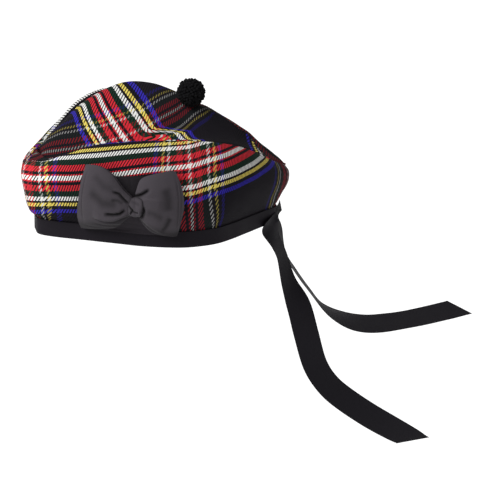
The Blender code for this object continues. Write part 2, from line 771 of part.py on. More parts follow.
def build_bow_knot(ribbon):
    """The twist of ribbon over the loops' necks, with a groove where its halves cross."""
    outer, inner = [], []
    for i in range(KNOT_STEPS + 1):
        rise = 2 * i / KNOT_STEPS - 1
        outer_line, inner_line = [], []
        for j in range(KNOT_COLUMNS + 1):
            across = 2 * j / KNOT_COLUMNS - 1
            narrow = math.sqrt(1 - KNOT_ROUNDNESS * rise**2)
            short = math.sqrt(1 - KNOT_ROUNDNESS * across**2)
            along = KNOT_SET_BACK + KNOT_HALF_WIDTH * across * narrow
            up = KNOT_HALF_HEIGHT * rise * short - KNOT_DROP
            dome = (1 - across**4) * (1 - rise**4)
            off_groove = across - KNOT_GROOVE_AT + KNOT_GROOVE_SLANT * rise
            groove = math.exp(-((off_groove / KNOT_GROOVE_WIDTH) ** 2))
            foot = under_knot(along, up) + LAYER_GAP
            out = foot + KNOT_EDGE + (KNOT_RISE - KNOT_TWIST * groove) * dome
            outer_line.append(on_bed(along, up, out))
            inner_line.append(on_bed(along, up, foot))
        outer.append(outer_line)
        inner.append(inner_line)
    add_object("bow_knot", skin_wall(outer, inner), ribbon)


def build_bow(ribbon):
    build_bow_base(ribbon)
    for loop in LOOPS:
        build_loop(loop, ribbon)
    build_bow_knot(ribbon)


def lock_directions(count):
    """Directions spread evenly over a sphere on a golden spiral."""
    golden = math.pi * (3 - math.sqrt(5))
    found = []
    for k in range(count):
        z = 1 - (2 * k + 1) / count
        ring = math.sqrt(1 - z * z)
        found.append(Vector((ring * math.cos(golden * k), ring * math.sin(golden * k), z)))
    return found


def build_toorie(yarn):
    """The pompom: a head whose surface is drawn out into locks, flat where it is sewn on."""
    turn, share, step = TOORIE_TURN, TOORIE_ACROSS, TOP_STEP
    foot = top_point(turn, share)
    along = top_point(turn + step, share) - top_point(turn - step, share)
    across = top_point(turn, share + step) - top_point(turn, share - step)
    normal = along.cross(across).normalized()
    if normal.z < 0:
        normal.negate()
    centre = foot + normal * (GAP + TOORIE_RADIUS - TOORIE_SQUASH)
    data = bmesh.new()
    bmesh.ops.create_icosphere(data, subdivisions=4, radius=1)
    locks = lock_directions(TOORIE_LOCKS)
    spread = 2 / math.sqrt(TOORIE_LOCKS)
    seat = foot + normal * GAP
    for vert in data.verts:
        direction = vert.co.normalized()
        nearest = min((direction - lock).length for lock in locks)
        groove = min(nearest / spread, 1) ** 2
        vert.co = centre + direction * (TOORIE_RADIUS - TOORIE_LOCK_DEPTH * groove)
        below = (vert.co - seat).dot(normal)
        if below < 0:
            vert.co -= normal * below
    bmesh.ops.triangulate(data, faces=data.faces)
    add_object("toorie", data, yarn)


def tail_frame(rows, start, reach, side, drop, run):
    """Middle of a tail and its width direction at one place along it."""
    middle = start + Vector((
        reach * smooth_value(rows, "back", run),
        side * smooth_value(rows, "side", run),
        -drop * smooth_value(rows, "down", run),
    ))
    lean = math.radians(smooth_value(rows, "lean", run))
    swing = math.radians(smooth_value(rows, "swing", run))
    width = Vector((
        math.cos(lean) * math.cos(swing),
        math.cos(lean) * math.sin(swing),
        math.sin(lean),
    ))
    return middle, width


def build_tail(name, rows, start, reach, side, drop, slant, ribbon):
    """A ribbon tail: a thin strip swept along its table, with a slanted end."""
    front, back = [], []
    for i in range(TAIL_STEPS + 1):
        run = i / TAIL_STEPS
        middle, width = tail_frame(rows, start, reach, side, drop, run)
        before, _ = tail_frame(rows, start, reach, side, drop, max(run - TAIL_STEP, 0))
        after, _ = tail_frame(rows, start, reach, side, drop, min(run + TAIL_STEP, 1))
        along = (after - before).normalized()
        width = (width - along * width.dot(along)).normalized()
        face = along.cross(width).normalized()
        slanted = max(run - SLANT_START, 0) / (1 - SLANT_START)
        length_on = along * (TAIL_WIDTH / 2 * slant * slanted)
        line_front, line_back = [], []
        for j in range(TAIL_COLUMNS + 1):
            share = 2 * j / TAIL_COLUMNS - 1
            point = middle + width * (TAIL_WIDTH / 2 * share) + length_on * share
            line_front.append(point + face * TAIL_WALL / 2)
            line_back.append(point - face * TAIL_WALL / 2)
        front.append(line_front)
        back.append(line_back)
    add_object(name, skin_wall(front, back), ribbon)


def build_tails(ribbon):
    """Both tails start at the back of the band, just clear of its outer face."""
    half_height = BAND_HEIGHT / 2
    on_band = plan_point(LOWER_TAIL_TURN, -1, -TAIL_SEAT, half_height)
    build_tail("tail_lower", LOWER_TAIL, on_band, LOWER_TAIL_REACH,
               LOWER_TAIL_SIDE, LOWER_TAIL_DROP, LOWER_TAIL_SLANT, ribbon)
    behind = plan_point(1, 1, -TAIL_SEAT - UPPER_TAIL_STAND, half_height)
    behind.y = UPPER_TAIL_STEP
    build_tail("tail_upper", UPPER_TAIL, behind, UPPER_TAIL_REACH,
               UPPER_TAIL_SIDE, UPPER_TAIL_DROP, UPPER_TAIL_SLANT, ribbon)


def main():
    for obj in list(bpy.data.objects):
        bpy.data.objects.remove(obj, do_unlink=True)
    finish = {row.name: new_material(*row) for row in MATERIALS}
    build_crown(finish["tartan"])
    build_headband(finish["binding_ribbon"])
    build_bow(finish["bow_ribbon"])
    build_toorie(finish["pompom_yarn"])
    build_tails(finish["binding_ribbon"])


main()
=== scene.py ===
import bisect
import math
import random
from collections import namedtuple

import bpy
from mathutils import Matrix, Vector, noise


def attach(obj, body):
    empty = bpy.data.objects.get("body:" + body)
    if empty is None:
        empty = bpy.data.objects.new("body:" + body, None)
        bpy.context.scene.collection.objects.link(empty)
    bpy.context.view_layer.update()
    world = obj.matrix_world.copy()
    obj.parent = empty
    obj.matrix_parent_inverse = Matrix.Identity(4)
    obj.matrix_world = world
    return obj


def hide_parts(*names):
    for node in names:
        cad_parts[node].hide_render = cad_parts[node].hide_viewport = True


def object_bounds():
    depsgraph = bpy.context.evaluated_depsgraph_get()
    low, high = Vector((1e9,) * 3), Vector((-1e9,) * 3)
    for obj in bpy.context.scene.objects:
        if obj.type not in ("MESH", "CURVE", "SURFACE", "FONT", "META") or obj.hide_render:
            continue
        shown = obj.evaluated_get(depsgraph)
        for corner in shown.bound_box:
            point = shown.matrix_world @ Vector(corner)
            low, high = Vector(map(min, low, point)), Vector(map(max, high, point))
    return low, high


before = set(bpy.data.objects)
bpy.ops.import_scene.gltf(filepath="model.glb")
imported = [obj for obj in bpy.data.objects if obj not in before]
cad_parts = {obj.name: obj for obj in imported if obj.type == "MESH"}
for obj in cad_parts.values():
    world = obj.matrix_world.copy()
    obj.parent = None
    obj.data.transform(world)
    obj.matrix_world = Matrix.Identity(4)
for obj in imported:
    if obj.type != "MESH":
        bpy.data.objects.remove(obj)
cad_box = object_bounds()

# Head opening and binding band
BAND_LENGTH = 0.2195
BAND_WIDTH = 0.160
BAND_HEIGHT = 0.0148
BAND_INSIDE_HEIGHT = 0.0125
BINDING_WALL = 0.0009
CLOTH_WALL = 0.0016
GAP = 0.0003
HEM_LIFT = 0.0020
HEM_STAND = 0.0010
SIDE_BULGE = 0.0150
PANEL_ROLL = 0.0046
PANEL_INSET = BINDING_WALL + GAP
FOLD_HEIGHT = 0.0012
EDGE_IN = 0.12
EDGE_DOWN = 0.6
BAND_SWELL = 0.0002
BAND_SWELLS = 45

# Crown
CROWN_LENGTH = 0.2245
CROWN_SET_BACK = 0.0025
FRONT_TIP_HEIGHT = 0.076
BACK_TIP_HEIGHT = 0.052
NEAR_SEAM_OUT = 0.060
NEAR_SEAM_LIFT = 0.0275
FAR_SEAM_OUT = 0.051
FAR_SEAM_LIFT = 0.050
VALLEY_DEPTH = 0.019
CREST_LIFT = 0.020

# Bow
BOW_TURN = 0.397
BOW_TURN_STEP = 0.05
BOW_SHARE = 0.342
BOW_SHARE_STEP = 0.2
BOW_BED_STEP = 0.004
BOW_CLEAR = 0.0005
BOW_RAMP = 0.0046
BOW_HALF_HEIGHT = 0.032
FRONT_LOOP_LENGTH = 0.0520
BACK_LOOP_LENGTH = 0.0393
LOOP_START = 0.0016
BOW_DEPTH = 0.0092
BOW_RIBBON_LIFT = 0.0010
BOW_WALL = 0.0007
LAYER_GAP = 0.0007
LOOP_SHOULDER = 0.30
LOOP_EDGE_SPREAD = 1.5
KNOT_HALF_WIDTH = 0.0060
KNOT_HALF_HEIGHT = 0.0088
KNOT_SET_BACK = 0.0014
KNOT_DROP = 0.0013
KNOT_RISE = 0.0029
KNOT_LEAN = 0.0013
KNOT_FLAT = 0.60
KNOT_FLAT_FROM = -0.2
KNOT_FLAT_TO = 0.5
KNOT_FLAT_SLANT = 0.3
KNOT_EDGE = 0.0006
KNOT_ROUNDNESS = 0.40
KNOT_LAP = 0.85

# Pompom
TOORIE_RADIUS = 0.0131
TOORIE_TURN = 0.595
TOORIE_ACROSS = 0.49
TOORIE_SQUASH = 0.0024
TOORIE_CORE_INSET = 0.0030
TOORIE_BARE = 0.80
TUFTS = 270
TUFT_RADIUS = 0.00125
TUFT_LENGTH = 0.0054
TUFT_END_WIDTH = 0.62
TUFT_FULL_AT = 0.32
TUFT_FULLNESS = 1.08
TUFT_SCATTER = 0.05
TUFT_SHORTER = 0.0009
TUFT_LONGER = 0.0005
YARN_TWIST = 0.0022

# Ribbon tails
TAIL_WIDTH = 0.0234
TAIL_WALL = 0.0006
TAIL_SEAT = 0.0018
LOWER_TAIL_REACH = 0.1500
LOWER_TAIL_DROP = 0.2280
LOWER_TAIL_SIDE = 0.0100
LOWER_TAIL_TURN = 0.925
UPPER_TAIL_REACH = 0.1760
UPPER_TAIL_DROP = 0.1180
UPPER_TAIL_SIDE = 0.0070
UPPER_TAIL_STAND = 0.0020
UPPER_TAIL_STEP = 0.0080
SLANT_START = 0.90
TAIL_SLANT = 0.95

# Fineness of the meshes
STATIONS = 230
STATION_CROWDING = 0.03
BAND_STATIONS = 150
PANEL_ROWS = 70
TOP_ROWS = 110
PANEL_STEPS = 44
TOP_STEPS = 60
LOOP_STEPS = 76
LOOP_COLUMNS = 84
BASE_ROWS = 80
BASE_COLUMNS = 100
KNOT_STEPS = 56
TAIL_STEPS = 200
TAIL_COLUMNS = 14
PLAN_STEP = 0.004
RUN_STEP = 0.01
NO_WIDTH = 1e-6
SMOOTH_ANGLE = math.radians(50)

# Cloth and yarn
YARN = 0.00065
TARTAN_REPEAT = 0.165
SEAM_DEPTH = 0.0008
SEAM_REACH = 0.0018
PANEL_RIPPLE = 0.0006
TOP_RIPPLE = 0.0007
FREE_OF_BAND = 0.012
FREE_OF_RIM = 0.008
FREE_OF_SEAM = 0.010
RIPPLES = 28
FINE_RIPPLES = 75


class Table:
    """Rows of numbers under named columns. The first column is the place of each row."""

    def __init__(self, columns, rows):
        self.columns = columns.split()
        self.rows = rows
        self.keys = [row[0] for row in rows]

    def read(self, column, at):
        """Value of a column at a place between the rows, on a smooth curve."""
        keys = self.keys
        index = self.columns.index(column)
        values = [row[index] for row in self.rows]
        if at <= keys[0]:
            return values[0]
        if at >= keys[-1]:
            return values[-1]
        low = bisect.bisect_right(keys, at) - 1

        def slope(i):
            before, after = max(i - 1, 0), min(i + 1, len(keys) - 1)
            return (values[after] - values[before]) / (keys[after] - keys[before])

        width = keys[low + 1] - keys[low]
        t = (at - keys[low]) / width
        return (
            values[low] * (2 * t**3 - 3 * t**2 + 1)
            + slope(low) * width * (t**3 - 2 * t**2 + t)
            + values[low + 1] * (3 * t**2 - 2 * t**3)
            + slope(low + 1) * width * (t**3 - t**2)
        )


# Shape of the cap: a turn is 0 at the front and 1 at the back, on either side.
# Outline of the head opening, as shares of its length and of half its width
PLAN = Table("turn along out", [
    (-0.05, 0.006, -0.165),
    (0.00, 0.000, 0.000),
    (0.05, 0.006, 0.165),
    (0.11, 0.060, 0.310),
    (0.20, 0.158, 0.480),
    (0.30, 0.275, 0.685),
    (0.40, 0.385, 0.870),
    (0.50, 0.500, 0.985),
    (0.56, 0.575, 1.000),
    (0.64, 0.675, 0.920),
    (0.72, 0.755, 0.750),
    (0.80, 0.828, 0.550),
    (0.90, 0.925, 0.280),
    (0.96, 0.984, 0.125),
    (1.00, 1.000, 0.000),
    (1.04, 0.984, -0.125),
])
# The two seams of the crown, as shares of its length and of their own reach and lift
NEAR_SEAM = Table("turn along out lift", [
    (0.000, 0.000, 0.00, 0.00),
    (0.050, 0.008, 0.24, -0.10),
    (0.109, 0.031, 0.50, -0.10),
    (0.189, 0.103, 0.74, 0.24),
    (0.256, 0.175, 0.87, 0.55),
    (0.317, 0.247, 0.95, 0.74),
    (0.440, 0.404, 1.00, 0.93),
    (0.609, 0.619, 0.95, 1.00),
    (0.718, 0.749, 0.80, 0.87),
    (0.806, 0.839, 0.60, 0.62),
    (0.881, 0.906, 0.40, 0.33),
    (1.000, 1.000, 0.00, 0.00),
])
FAR_SEAM = Table("turn along out lift", [
    (0.000, 0.000, 0.00, 0.000),
    (0.047, 0.012, 0.24, 0.000),
    (0.104, 0.058, 0.43, 0.180),
    (0.181, 0.121, 0.61, 0.445),
    (0.258, 0.197, 0.75, 0.770),
    (0.342, 0.296, 0.86, 0.990),
    (0.429, 0.404, 0.96, 1.000),
    (0.516, 0.511, 1.00, 0.920),
    (0.606, 0.619, 1.00, 0.820),
    (0.698, 0.726, 0.90, 0.680),
    (0.796, 0.825, 0.69, 0.470),
    (0.890, 0.906, 0.39, 0.240),
    (1.000, 1.000, 0.00, 0.000),
])
# How a side panel bulges on its way up, and what sagging and tucking in add
BULGE = Table("up out sag tuck", [
    (0.00, 0.00, 0.0, 0.00),
    (0.07, 0.26, 1.0, -0.40),
    (0.17, 0.55, 0.2, -0.85),
    (0.30, 0.80, -0.5, -1.00),
    (0.45, 0.97, -0.7, -0.50),
    (0.62, 1.00, -0.2, -0.10),
    (0.82, 0.74, 0.0, 0.00),
    (1.00, 0.00, 0.0, 0.00),
])
ROLL = Table("up out", [
    (0.00, 0.00),
    (0.60, 0.10),
    (0.80, 0.62),
    (0.92, 1.00),
    (1.00, 0.00),
])
SIDES = Table("turn near_bulge far_bulge sag tuck near_roll far_roll", [
    (0.00, 0.98, 0.98, 0.17, 0.00, 0.00, 0.00),
    (0.12, 0.94, 0.94, 0.15, 0.00, 0.10, 0.75),
    (0.25, 0.90, 0.90, 0.05, 0.00, 0.15, 1.00),
    (0.45, 1.00, 0.95, 0.00, 0.00, 0.15, 0.70),
    (0.70, 0.95, 0.90, 0.00, 0.00, 0.15, 0.40),
    (0.88, 0.76, 0.76, 0.00, 0.12, 0.10, 0.20),
    (1.00, 0.50, 0.50, 0.00, 0.28, 0.00, 0.00),
])
# The valley and the crest across the top piece: where they lie, and their strength
TOP = Table("turn valley_at valley crest_at crest", [
    (0.00, 0.25, 0.00, 0.70, 0.00),
    (0.08, 0.24, 0.18, 0.70, 0.10),
    (0.18, 0.22, 0.68, 0.72, 0.24),
    (0.26, 0.20, 0.92, 0.74, 0.32),
    (0.34, 0.20, 1.00, 0.76, 0.48),
    (0.43, 0.22, 0.88, 0.76, 0.80),
    (0.50, 0.26, 0.62, 0.66, 1.00),
    (0.57, 0.27, 0.34, 0.57, 0.92),
    (0.64, 0.22, 0.02, 0.44, 0.80),
    (0.71, 0.18, -0.16, 0.37, 0.65),
    (0.80, 0.18, -0.14, 0.34, 0.49),
    (0.90, 0.22, -0.08, 0.36, 0.31),
    (1.00, 0.25, 0.00, 0.50, 0.00),
])
# The loops of the bow: heights of their edges, and how far they puff out
FRONT_LOOP = Table("reach top bottom puff", [
    (0.00, 0.18, -0.30, 0.52),
    (0.10, 0.36, -0.36, 0.66),
    (0.20, 0.58, -0.46, 0.82),
    (0.31, 0.78, -0.58, 0.95),
    (0.47, 0.93, -0.66, 1.00),
    (0.65, 1.02, -0.70, 0.92),
    (0.82, 1.06, -0.76, 0.78),
    (1.00, 1.08, -0.84, 0.46),
])
BACK_LOOP = Table("reach top bottom puff", [
    (0.00, 0.30, -0.34, 0.52),
    (0.10, 0.60, -0.52, 0.72),
    (0.22, 0.70, -0.66, 0.90),
    (0.40, 0.75, -0.76, 1.00),
    (0.60, 0.79, -0.84, 0.95),
    (0.85, 0.83, -0.93, 0.74),
    (1.00, 0.82, -0.92, 0.50),
])
# How far each loop's round end reaches, across its width
LOOP_EDGE = Table("across front back", [
    (-1.0, 1.08, 0.86),
    (-0.5, 1.05, 0.94),
    (0.0, 0.97, 1.00),
    (0.5, 0.88, 0.97),
    (1.0, 0.77, 0.86),
])
# Creases of the bow: a groove's depth and width, how far the cloth on the left of its
# path stands up, and the path along and up from the bow's middle, in metres
Crease = namedtuple("Crease", "depth width lift path")
FRONT_CREASES = [
    Crease(0.0019, 0.0011, 0, [(-0.017, 0.0128), (-0.0107, 0.0099), (-0.0076, 0.0055), (-0.003, 0)]),
    Crease(0.0007, 0.0013, 0, [(-0.0185, 0.0055), (-0.012, 0.005), (-0.007, 0.001)]),
    Crease(0.0026, 0.0014, 0, [
        (-0.027, -0.0058), (-0.0177, -0.0067), (-0.012, -0.0063), (-0.006, -0.0025),
    ]),
    Crease(0.0012, 0.0013, 0.003, [
        (-0.04, -0.01), (-0.027, -0.0125), (-0.0182, -0.0124), (-0.002, -0.0078),
    ]),
    Crease(0.0008, 0.001, 0.0004, [(-0.04, -0.0155), (-0.03, -0.017), (-0.012, -0.0172)]),
    Crease(0.0006, 0.0008, 0, [(-0.054, -0.0195), (-0.04, -0.0202), (-0.018, -0.02)]),
    Crease(0.0005, 0.0007, 0.0003, [
        (-0.036, 0.033), (-0.04, 0.025), (-0.0443, 0.012), (-0.047, 0), (-0.05, -0.02),
    ]),
    Crease(0.0008, 0.004, 0, [(-0.038, 0.015), (-0.025, 0.003), (-0.01, 0.001)]),
    Crease(0.0005, 0.003, 0, [(-0.033, 0.027), (-0.023, 0.017), (-0.012, 0.012)]),
]
BACK_CREASES = [
    Crease(0.0028, 0.0013, 0, [(-0.004, 0.0045), (0.0015, 0.0067), (0.007, 0.009), (0.0145, 0.0138)]),
    Crease(0, 0.0016, 0.0012, [(0.025, 0.004), (0.018, 0.0054), (0.0109, 0.0063), (0.003, 0.0058)]),
    Crease(0.0022, 0.0013, 0, [(0.0075, 0.001), (0.008, -0.004), (0.006, -0.0085), (0, -0.0112)]),
    Crease(0.0006, 0.0015, 0.001, [(0.002, -0.0105), (0.007, -0.014), (0.013, -0.0185), (0.02, -0.0225)]),
    Crease(0.0005, 0.0006, 0.0003, [
        (0.033, 0.024), (0.0348, 0.0152), (0.0358, 0.0041), (0.0352, -0.0083), (0.0335, -0.024),
    ]),
    Crease(0.0004, 0.0005, 0, [
        (0.0352, 0.024), (0.0368, 0.0152), (0.0376, 0.0041), (0.037, -0.0083), (0.0352, -0.024),
    ]),
    Crease(0.0011, 0.0022, 0, [(0.03, -0.008), (0.028, -0.0122), (0.0251, -0.0168), (0.02, -0.0215)]),
    Crease(0.0009, 0.004, 0, [(0.026, 0.015), (0.0285, 0.005), (0.028, -0.006)]),
    Crease(0.0006, 0.0025, 0, [(0.009, -0.004), (0.017, -0.006), (0.025, -0.011)]),
]
BASE_CREASES = [
    Crease(0.0006, 0.0008, 0.0003, [
        (-0.042, -0.0228), (-0.026, -0.0237), (-0.0135, -0.0249), (0.03, -0.025),
    ]),
    Crease(0.0005, 0.0007, 0, [(-0.042, -0.0275), (-0.026, -0.028), (0.03, -0.0286)]),
    Crease(0.0007, 0.0009, 0, [(-0.03, -0.0195), (-0.01, -0.0205), (0.008, -0.0215)]),
    Crease(0.0005, 0.0012, 0, [(-0.003, 0.025), (-0.0022, 0.018), (-0.0018, 0.01)]),
]
KNOT_CREASES = [
    Crease(0.0016, 0.0009, 0, [
        (-0.0062, 0.0034), (-0.0038, 0.0007), (-0.0007, -0.0028), (-0.0026, -0.0054), (-0.004, -0.0086),
    ]),
    Crease(0.0013, 0.0007, 0, [(-0.0012, -0.0038), (0.0014, -0.0047), (0.0042, -0.005)]),
    Crease(0.0005, 0.0014, 0, [(-0.003, 0.005), (0.001, 0.0028), (0.006, 0.0012)]),
]
CREASE_FADE = 0.22
PAINTED_SHADE_CREASE_DEPTH = 0.0016
LIFT_EDGE = 0.7
LIFT_REACH = 5
BASE_RELIEF = 0.5

# Painted shade on the ribbon's colour: how dark it is in the notch, behind the loops and low on them
NOTCH_SHADE = 0.70
NOTCH_FROM = -0.002
NOTCH_TO = 0.006
BASE_SHADE = 0.35
LOWER_SHADE = 0.65
LOWER_SHADE_FROM = -0.55
LOWER_SHADE_TO = -0.85

# Edges of the ribbon behind the loops, as shares of their length and height
BASE_EDGES = Table("up front back", [
    (-0.96, 0.80, 0.72),
    (-0.45, 0.78, 0.62),
    (0.20, 0.62, 0.46),
    (0.72, 0.40, 0.26),
])
# The tails, as shares of their reach, side and drop. Lean and swing turn the ribbon, in degrees
LOWER_TAIL = Table("run back side down lean swing", [
    (0.000, 0.000, 0.00, 0.000, 38, 50),
    (0.036, 0.003, 0.22, 0.038, 20, 35),
    (0.062, 0.020, 0.37, 0.068, 2, 45),
    (0.087, 0.038, 0.50, 0.098, -12, 53),
    (0.149, 0.085, 0.80, 0.168, -9, 54),
    (0.238, 0.132, 0.70, 0.284, -13, 39),
    (0.322, 0.196, 0.50, 0.385, 0, 8),
    (0.427, 0.241, 0.30, 0.497, 9, -2),
    (0.517, 0.297, 0.30, 0.623, 7, 5),
    (0.586, 0.361, 0.30, 0.699, 17, 14),
    (0.665, 0.457, 0.40, 0.768, 39, 18),
    (0.792, 0.665, 0.50, 0.872, 58, 10),
    (0.946, 0.919, 0.70, 0.980, 46, -20),
    (1.000, 0.966, 0.80, 1.003, 47, -16),
])
UPPER_TAIL = Table("run back side down lean swing", [
    (0.000, 0.013, 0.00, -0.035, 30, -80),
    (0.040, -0.008, 0.30, 0.050, 28, -86),
    (0.085, 0.007, 0.55, 0.170, 24, -90),
    (0.166, 0.039, 0.50, 0.345, 17, -98),
    (0.250, 0.093, 0.30, 0.486, 17, -98),
    (0.334, 0.163, 0.15, 0.638, 16, -97),
    (0.426, 0.235, 0.29, 0.770, 16, -96),
    (0.519, 0.344, 0.57, 0.898, 33, -75),
    (0.618, 0.470, 0.86, 0.981, 54, -59),
    (0.724, 0.606, 1.00, 0.997, 66, -64),
    (0.843, 0.785, 1.00, 0.968, 66, -109),
    (0.942, 0.960, 0.86, 0.920, 67, -116),
    (1.000, 1.030, 0.71, 0.895, 69, -113),
])

# Colours of the wool, the ribbons and the yarn
WHITE = (0.66, 0.66, 0.64)
YELLOW = (0.62, 0.50, 0.10)
RED = (0.50, 0.019, 0.030)
BLUE = (0.026, 0.018, 0.30)
GREEN = (0.005, 0.021, 0.012)
BLACK = (0.0074, 0.0060, 0.0090)
BINDING_BLACK = (0.0056, 0.0044, 0.0066)
TAIL_BLACK = (0.0058, 0.0050, 0.0070)
BOW_BLACK = (0.0345, 0.0298, 0.0352)
# The bow's ribbon behind the loops, made darker than BOW_BLACK as painted shade
BOW_BASE_PAINTED_SHADE_BLACK = (0.0215, 0.0180, 0.0225)
YARN_SHADE = (0.0022, 0.0022, 0.0026, 1)
YARN_LIGHT = (0.010, 0.010, 0.011, 1)

# Tartan: half of the sett, from the middle of its white line outwards. The crossing yarns
# are beaten up closer, so their light stripes are slimmer
Stripe = namedtuple("Stripe", "colour edge crossing_edge")
SETT = [
    Stripe(WHITE, 0.0020, 0.0013),
    Stripe(RED, 0.0034, 0.0034),
    Stripe(BLACK, 0.0058, 0.0058),
    Stripe(RED, 0.0108, 0.0108),
    Stripe(GREEN, 0.0164, 0.0168),
    Stripe(WHITE, 0.0200, 0.0195),
    Stripe(BLACK, 0.0217, 0.0221),
    Stripe(YELLOW, 0.0250, 0.0246),
    Stripe(BLACK, 0.0283, 0.0284),
    Stripe(BLUE, 0.0324, 0.0322),
    Stripe(BLACK, TARTAN_REPEAT / 2, TARTAN_REPEAT / 2),
]

# How the tartan lies on each piece, in metres: middle is how far up the cloth from
# the band, or across from the near seam, its white line runs; along is the place
# lengthwise; lean is how far the lines bend; low squeezes the cloth under the middle.
NEAR_CLOTH = Table("turn middle along lean low", [
    (0.000, 0.0380, -0.1720, 0.000, 0.92),
    (0.056, 0.0428, -0.1567, -0.002, 0.92),
    (0.098, 0.0463, -0.1468, -0.004, 0.92),
    (0.125, 0.0478, -0.1417, -0.004, 0.92),
    (0.152, 0.0489, -0.1347, -0.003, 0.92),
    (0.220, 0.0500, -0.1125, 0.000, 0.92),
    (0.340, 0.0527, -0.0700, 0.000, 0.96),
    (0.440, 0.0560, -0.0365, 0.001, 1.00),
    (0.546, 0.0582, 0.0000, 0.003, 1.00),
    (0.594, 0.0620, 0.0180, 0.006, 1.00),
    (0.632, 0.0645, 0.0302, 0.008, 1.00),
    (0.710, 0.0703, 0.0680, 0.009, 1.00),
    (0.800, 0.0755, 0.1070, 0.010, 1.00),
    (0.896, 0.0800, 0.1420, 0.010, 1.00),
    (0.947, 0.0820, 0.1566, 0.005, 1.00),
    (1.000, 0.0840, 0.1720, 0.000, 1.00),
])
FAR_CLOTH = Table("turn hem seam along squeeze", [
    (0.000, 0.038, 0.0600, -0.1720, 2.3),
    (0.030, 0.043, 0.0450, -0.1630, 2.3),
    (0.055, 0.047, 0.0400, -0.1555, 2.3),
    (0.064, 0.049, 0.0340, -0.1530, 2.3),
    (0.073, 0.051, 0.0214, -0.1505, 2.3),
    (0.100, 0.055, 0.0213, -0.1450, 2.2),
    (0.200, 0.068, 0.0217, -0.1170, 0.8),
    (0.300, 0.078, 0.0217, -0.0830, 0.7),
    (0.380, 0.080, 0.0222, -0.0570, 0.7),
    (0.440, 0.080, 0.0340, -0.0365, 1.0),
    (0.550, 0.080, 0.0450, 0.0000, 1.0),
    (0.650, 0.080, 0.0450, 0.0370, 1.0),
    (0.710, 0.082, 0.0450, 0.0600, 1.0),
    (0.790, 0.086, 0.0450, 0.0850, 1.0),
    (0.900, 0.088, 0.0450, 0.1100, 1.0),
    (1.000, 0.090, 0.0450, 0.1260, 1.0),
])
TOP_CLOTH = Table("turn middle along lean low", [
    (0.00, -0.0097, -0.0950, 0.030, 0.70),
    (0.02, -0.0052, -0.0895, 0.030, 0.70),
    (0.04, 0.0020, -0.0838, 0.030, 0.70),
    (0.06, 0.0108, -0.0780, 0.030, 0.70),
    (0.08, 0.0161, -0.0722, 0.030, 0.70),
    (0.10, 0.0209, -0.0664, 0.030, 0.70),
    (0.13, 0.0264, -0.0575, 0.030, 0.76),
    (0.16, 0.0307, -0.0485, 0.030, 0.88),
    (0.18, 0.0330, -0.0424, 0.030, 1.00),
    (0.22, 0.0350, -0.0300, 0.031, 1.00),
    (0.26, 0.0367, -0.0163, 0.039, 1.00),
    (0.30, 0.0380, -0.0021, 0.046, 1.00),
    (0.34, 0.0407, 0.0100, 0.047, 1.00),
    (0.38, 0.0439, 0.0205, 0.047, 1.00),
    (0.42, 0.0478, 0.0294, 0.046, 1.00),
    (0.46, 0.0515, 0.0379, 0.043, 1.00),
    (0.50, 0.0555, 0.0480, 0.040, 1.00),
    (0.55, 0.0600, 0.0655, 0.040, 1.00),
    (0.60, 0.0665, 0.0820, 0.039, 1.00),
    (0.65, 0.0710, 0.0960, 0.030, 1.00),
    (0.70, 0.0860, 0.1100, 0.015, 1.00),
    (0.74, 0.0930, 0.1205, 0.005, 1.00),
    (0.80, 0.0880, 0.1370, 0.000, 1.00),
    (0.84, 0.0800, 0.1470, 0.000, 1.00),
    (0.92, 0.0600, 0.1670, 0.000, 1.00),
    (1.00, 0.0450, 0.1870, 0.000, 1.00),
])
TOP_LINE_ACROSS = 0.74
BEND_MIDDLE = 0.55
BEND_REACH = 0.45

# Past the crest the stripes lean less
CREST_ACROSS = 0.66
CREST_LEAN_FRONT = 0.25
CREST_LEAN_BACK = 0.85
CREST_LEAN_FROM = 0.26
CREST_LEAN_TO = 0.42
CREST_SOFT = 0.05

# The cloth is drawn in just below the far seam, down to this far from it
FAR_REACH = 0.012

# Along the crease behind the near seam, the cloth slips towards the back
CREASE_SLIP = Table("turn slip", [
    (0.41, 0.000),
    (0.44, 0.003),
    (0.47, 0.012),
    (0.53, 0.025),
    (0.60, 0.026),
    (0.66, 0.012),
    (0.72, 0.000),
])
CREASE_FROM = 0.365
CREASE_TO = 0.275

# At the back of the top piece a tuck hides some of the cloth: fold is how far from the
# near edge its fold runs, and start is where the tartan beyond it is measured from
TUCK = Table("turn fold start", [
    (0.50, 0.2000, 0.2000),
    (0.58, 0.1500, 0.1500),
    (0.62, 0.1000, 0.0950),
    (0.66, 0.0600, 0.0610),
    (0.70, 0.0400, 0.0405),
    (0.74, 0.0295, 0.0290),
    (0.78, 0.0245, 0.0215),
    (0.80, 0.0225, 0.0180),
    (0.82, 0.0165, 0.0145),
    (0.84, 0.0095, 0.0110),
    (0.86, 0.0045, 0.0075),
    (0.88, 0.0020, 0.0040),
    (0.90, 0.0005, 0.0010),
    (0.94, 0.0000, -0.0040),
    (1.00, 0.0000, -0.0090),
])
TUCK_LINE = 0.0058
TUCK_SQUEEZE = 0.5
TUCK_SLIP = 0.0750
TUCK_STEP = 0.0011
TUCK_WIDTH = 0.0120
TUCK_EDGE_FROM = -0.0004
TUCK_EDGE_TO = 0.0006

# How far the two seams lie below the near edge of the crown, and in from its far edge
SEAM_INSET = Table("turn near far", [
    (0.00, 0.0171, 0.0171),
    (0.01, 0.0157, 0.0170),
    (0.02, 0.0138, 0.0150),
    (0.03, 0.0117, 0.0105),
    (0.04, 0.0095, 0.0060),
    (0.05, 0.0083, 0.0030),
    (0.06, 0.0070, 0.0014),
    (0.08, 0.0045, 0.0003),
    (0.10, 0.0025, 0.0000),
    (0.12, 0.0012, 0.0000),
    (0.14, 0.0003, 0.0000),
    (0.16, 0.0000, 0.0000),
    (1.00, 0.0000, 0.0000),
])

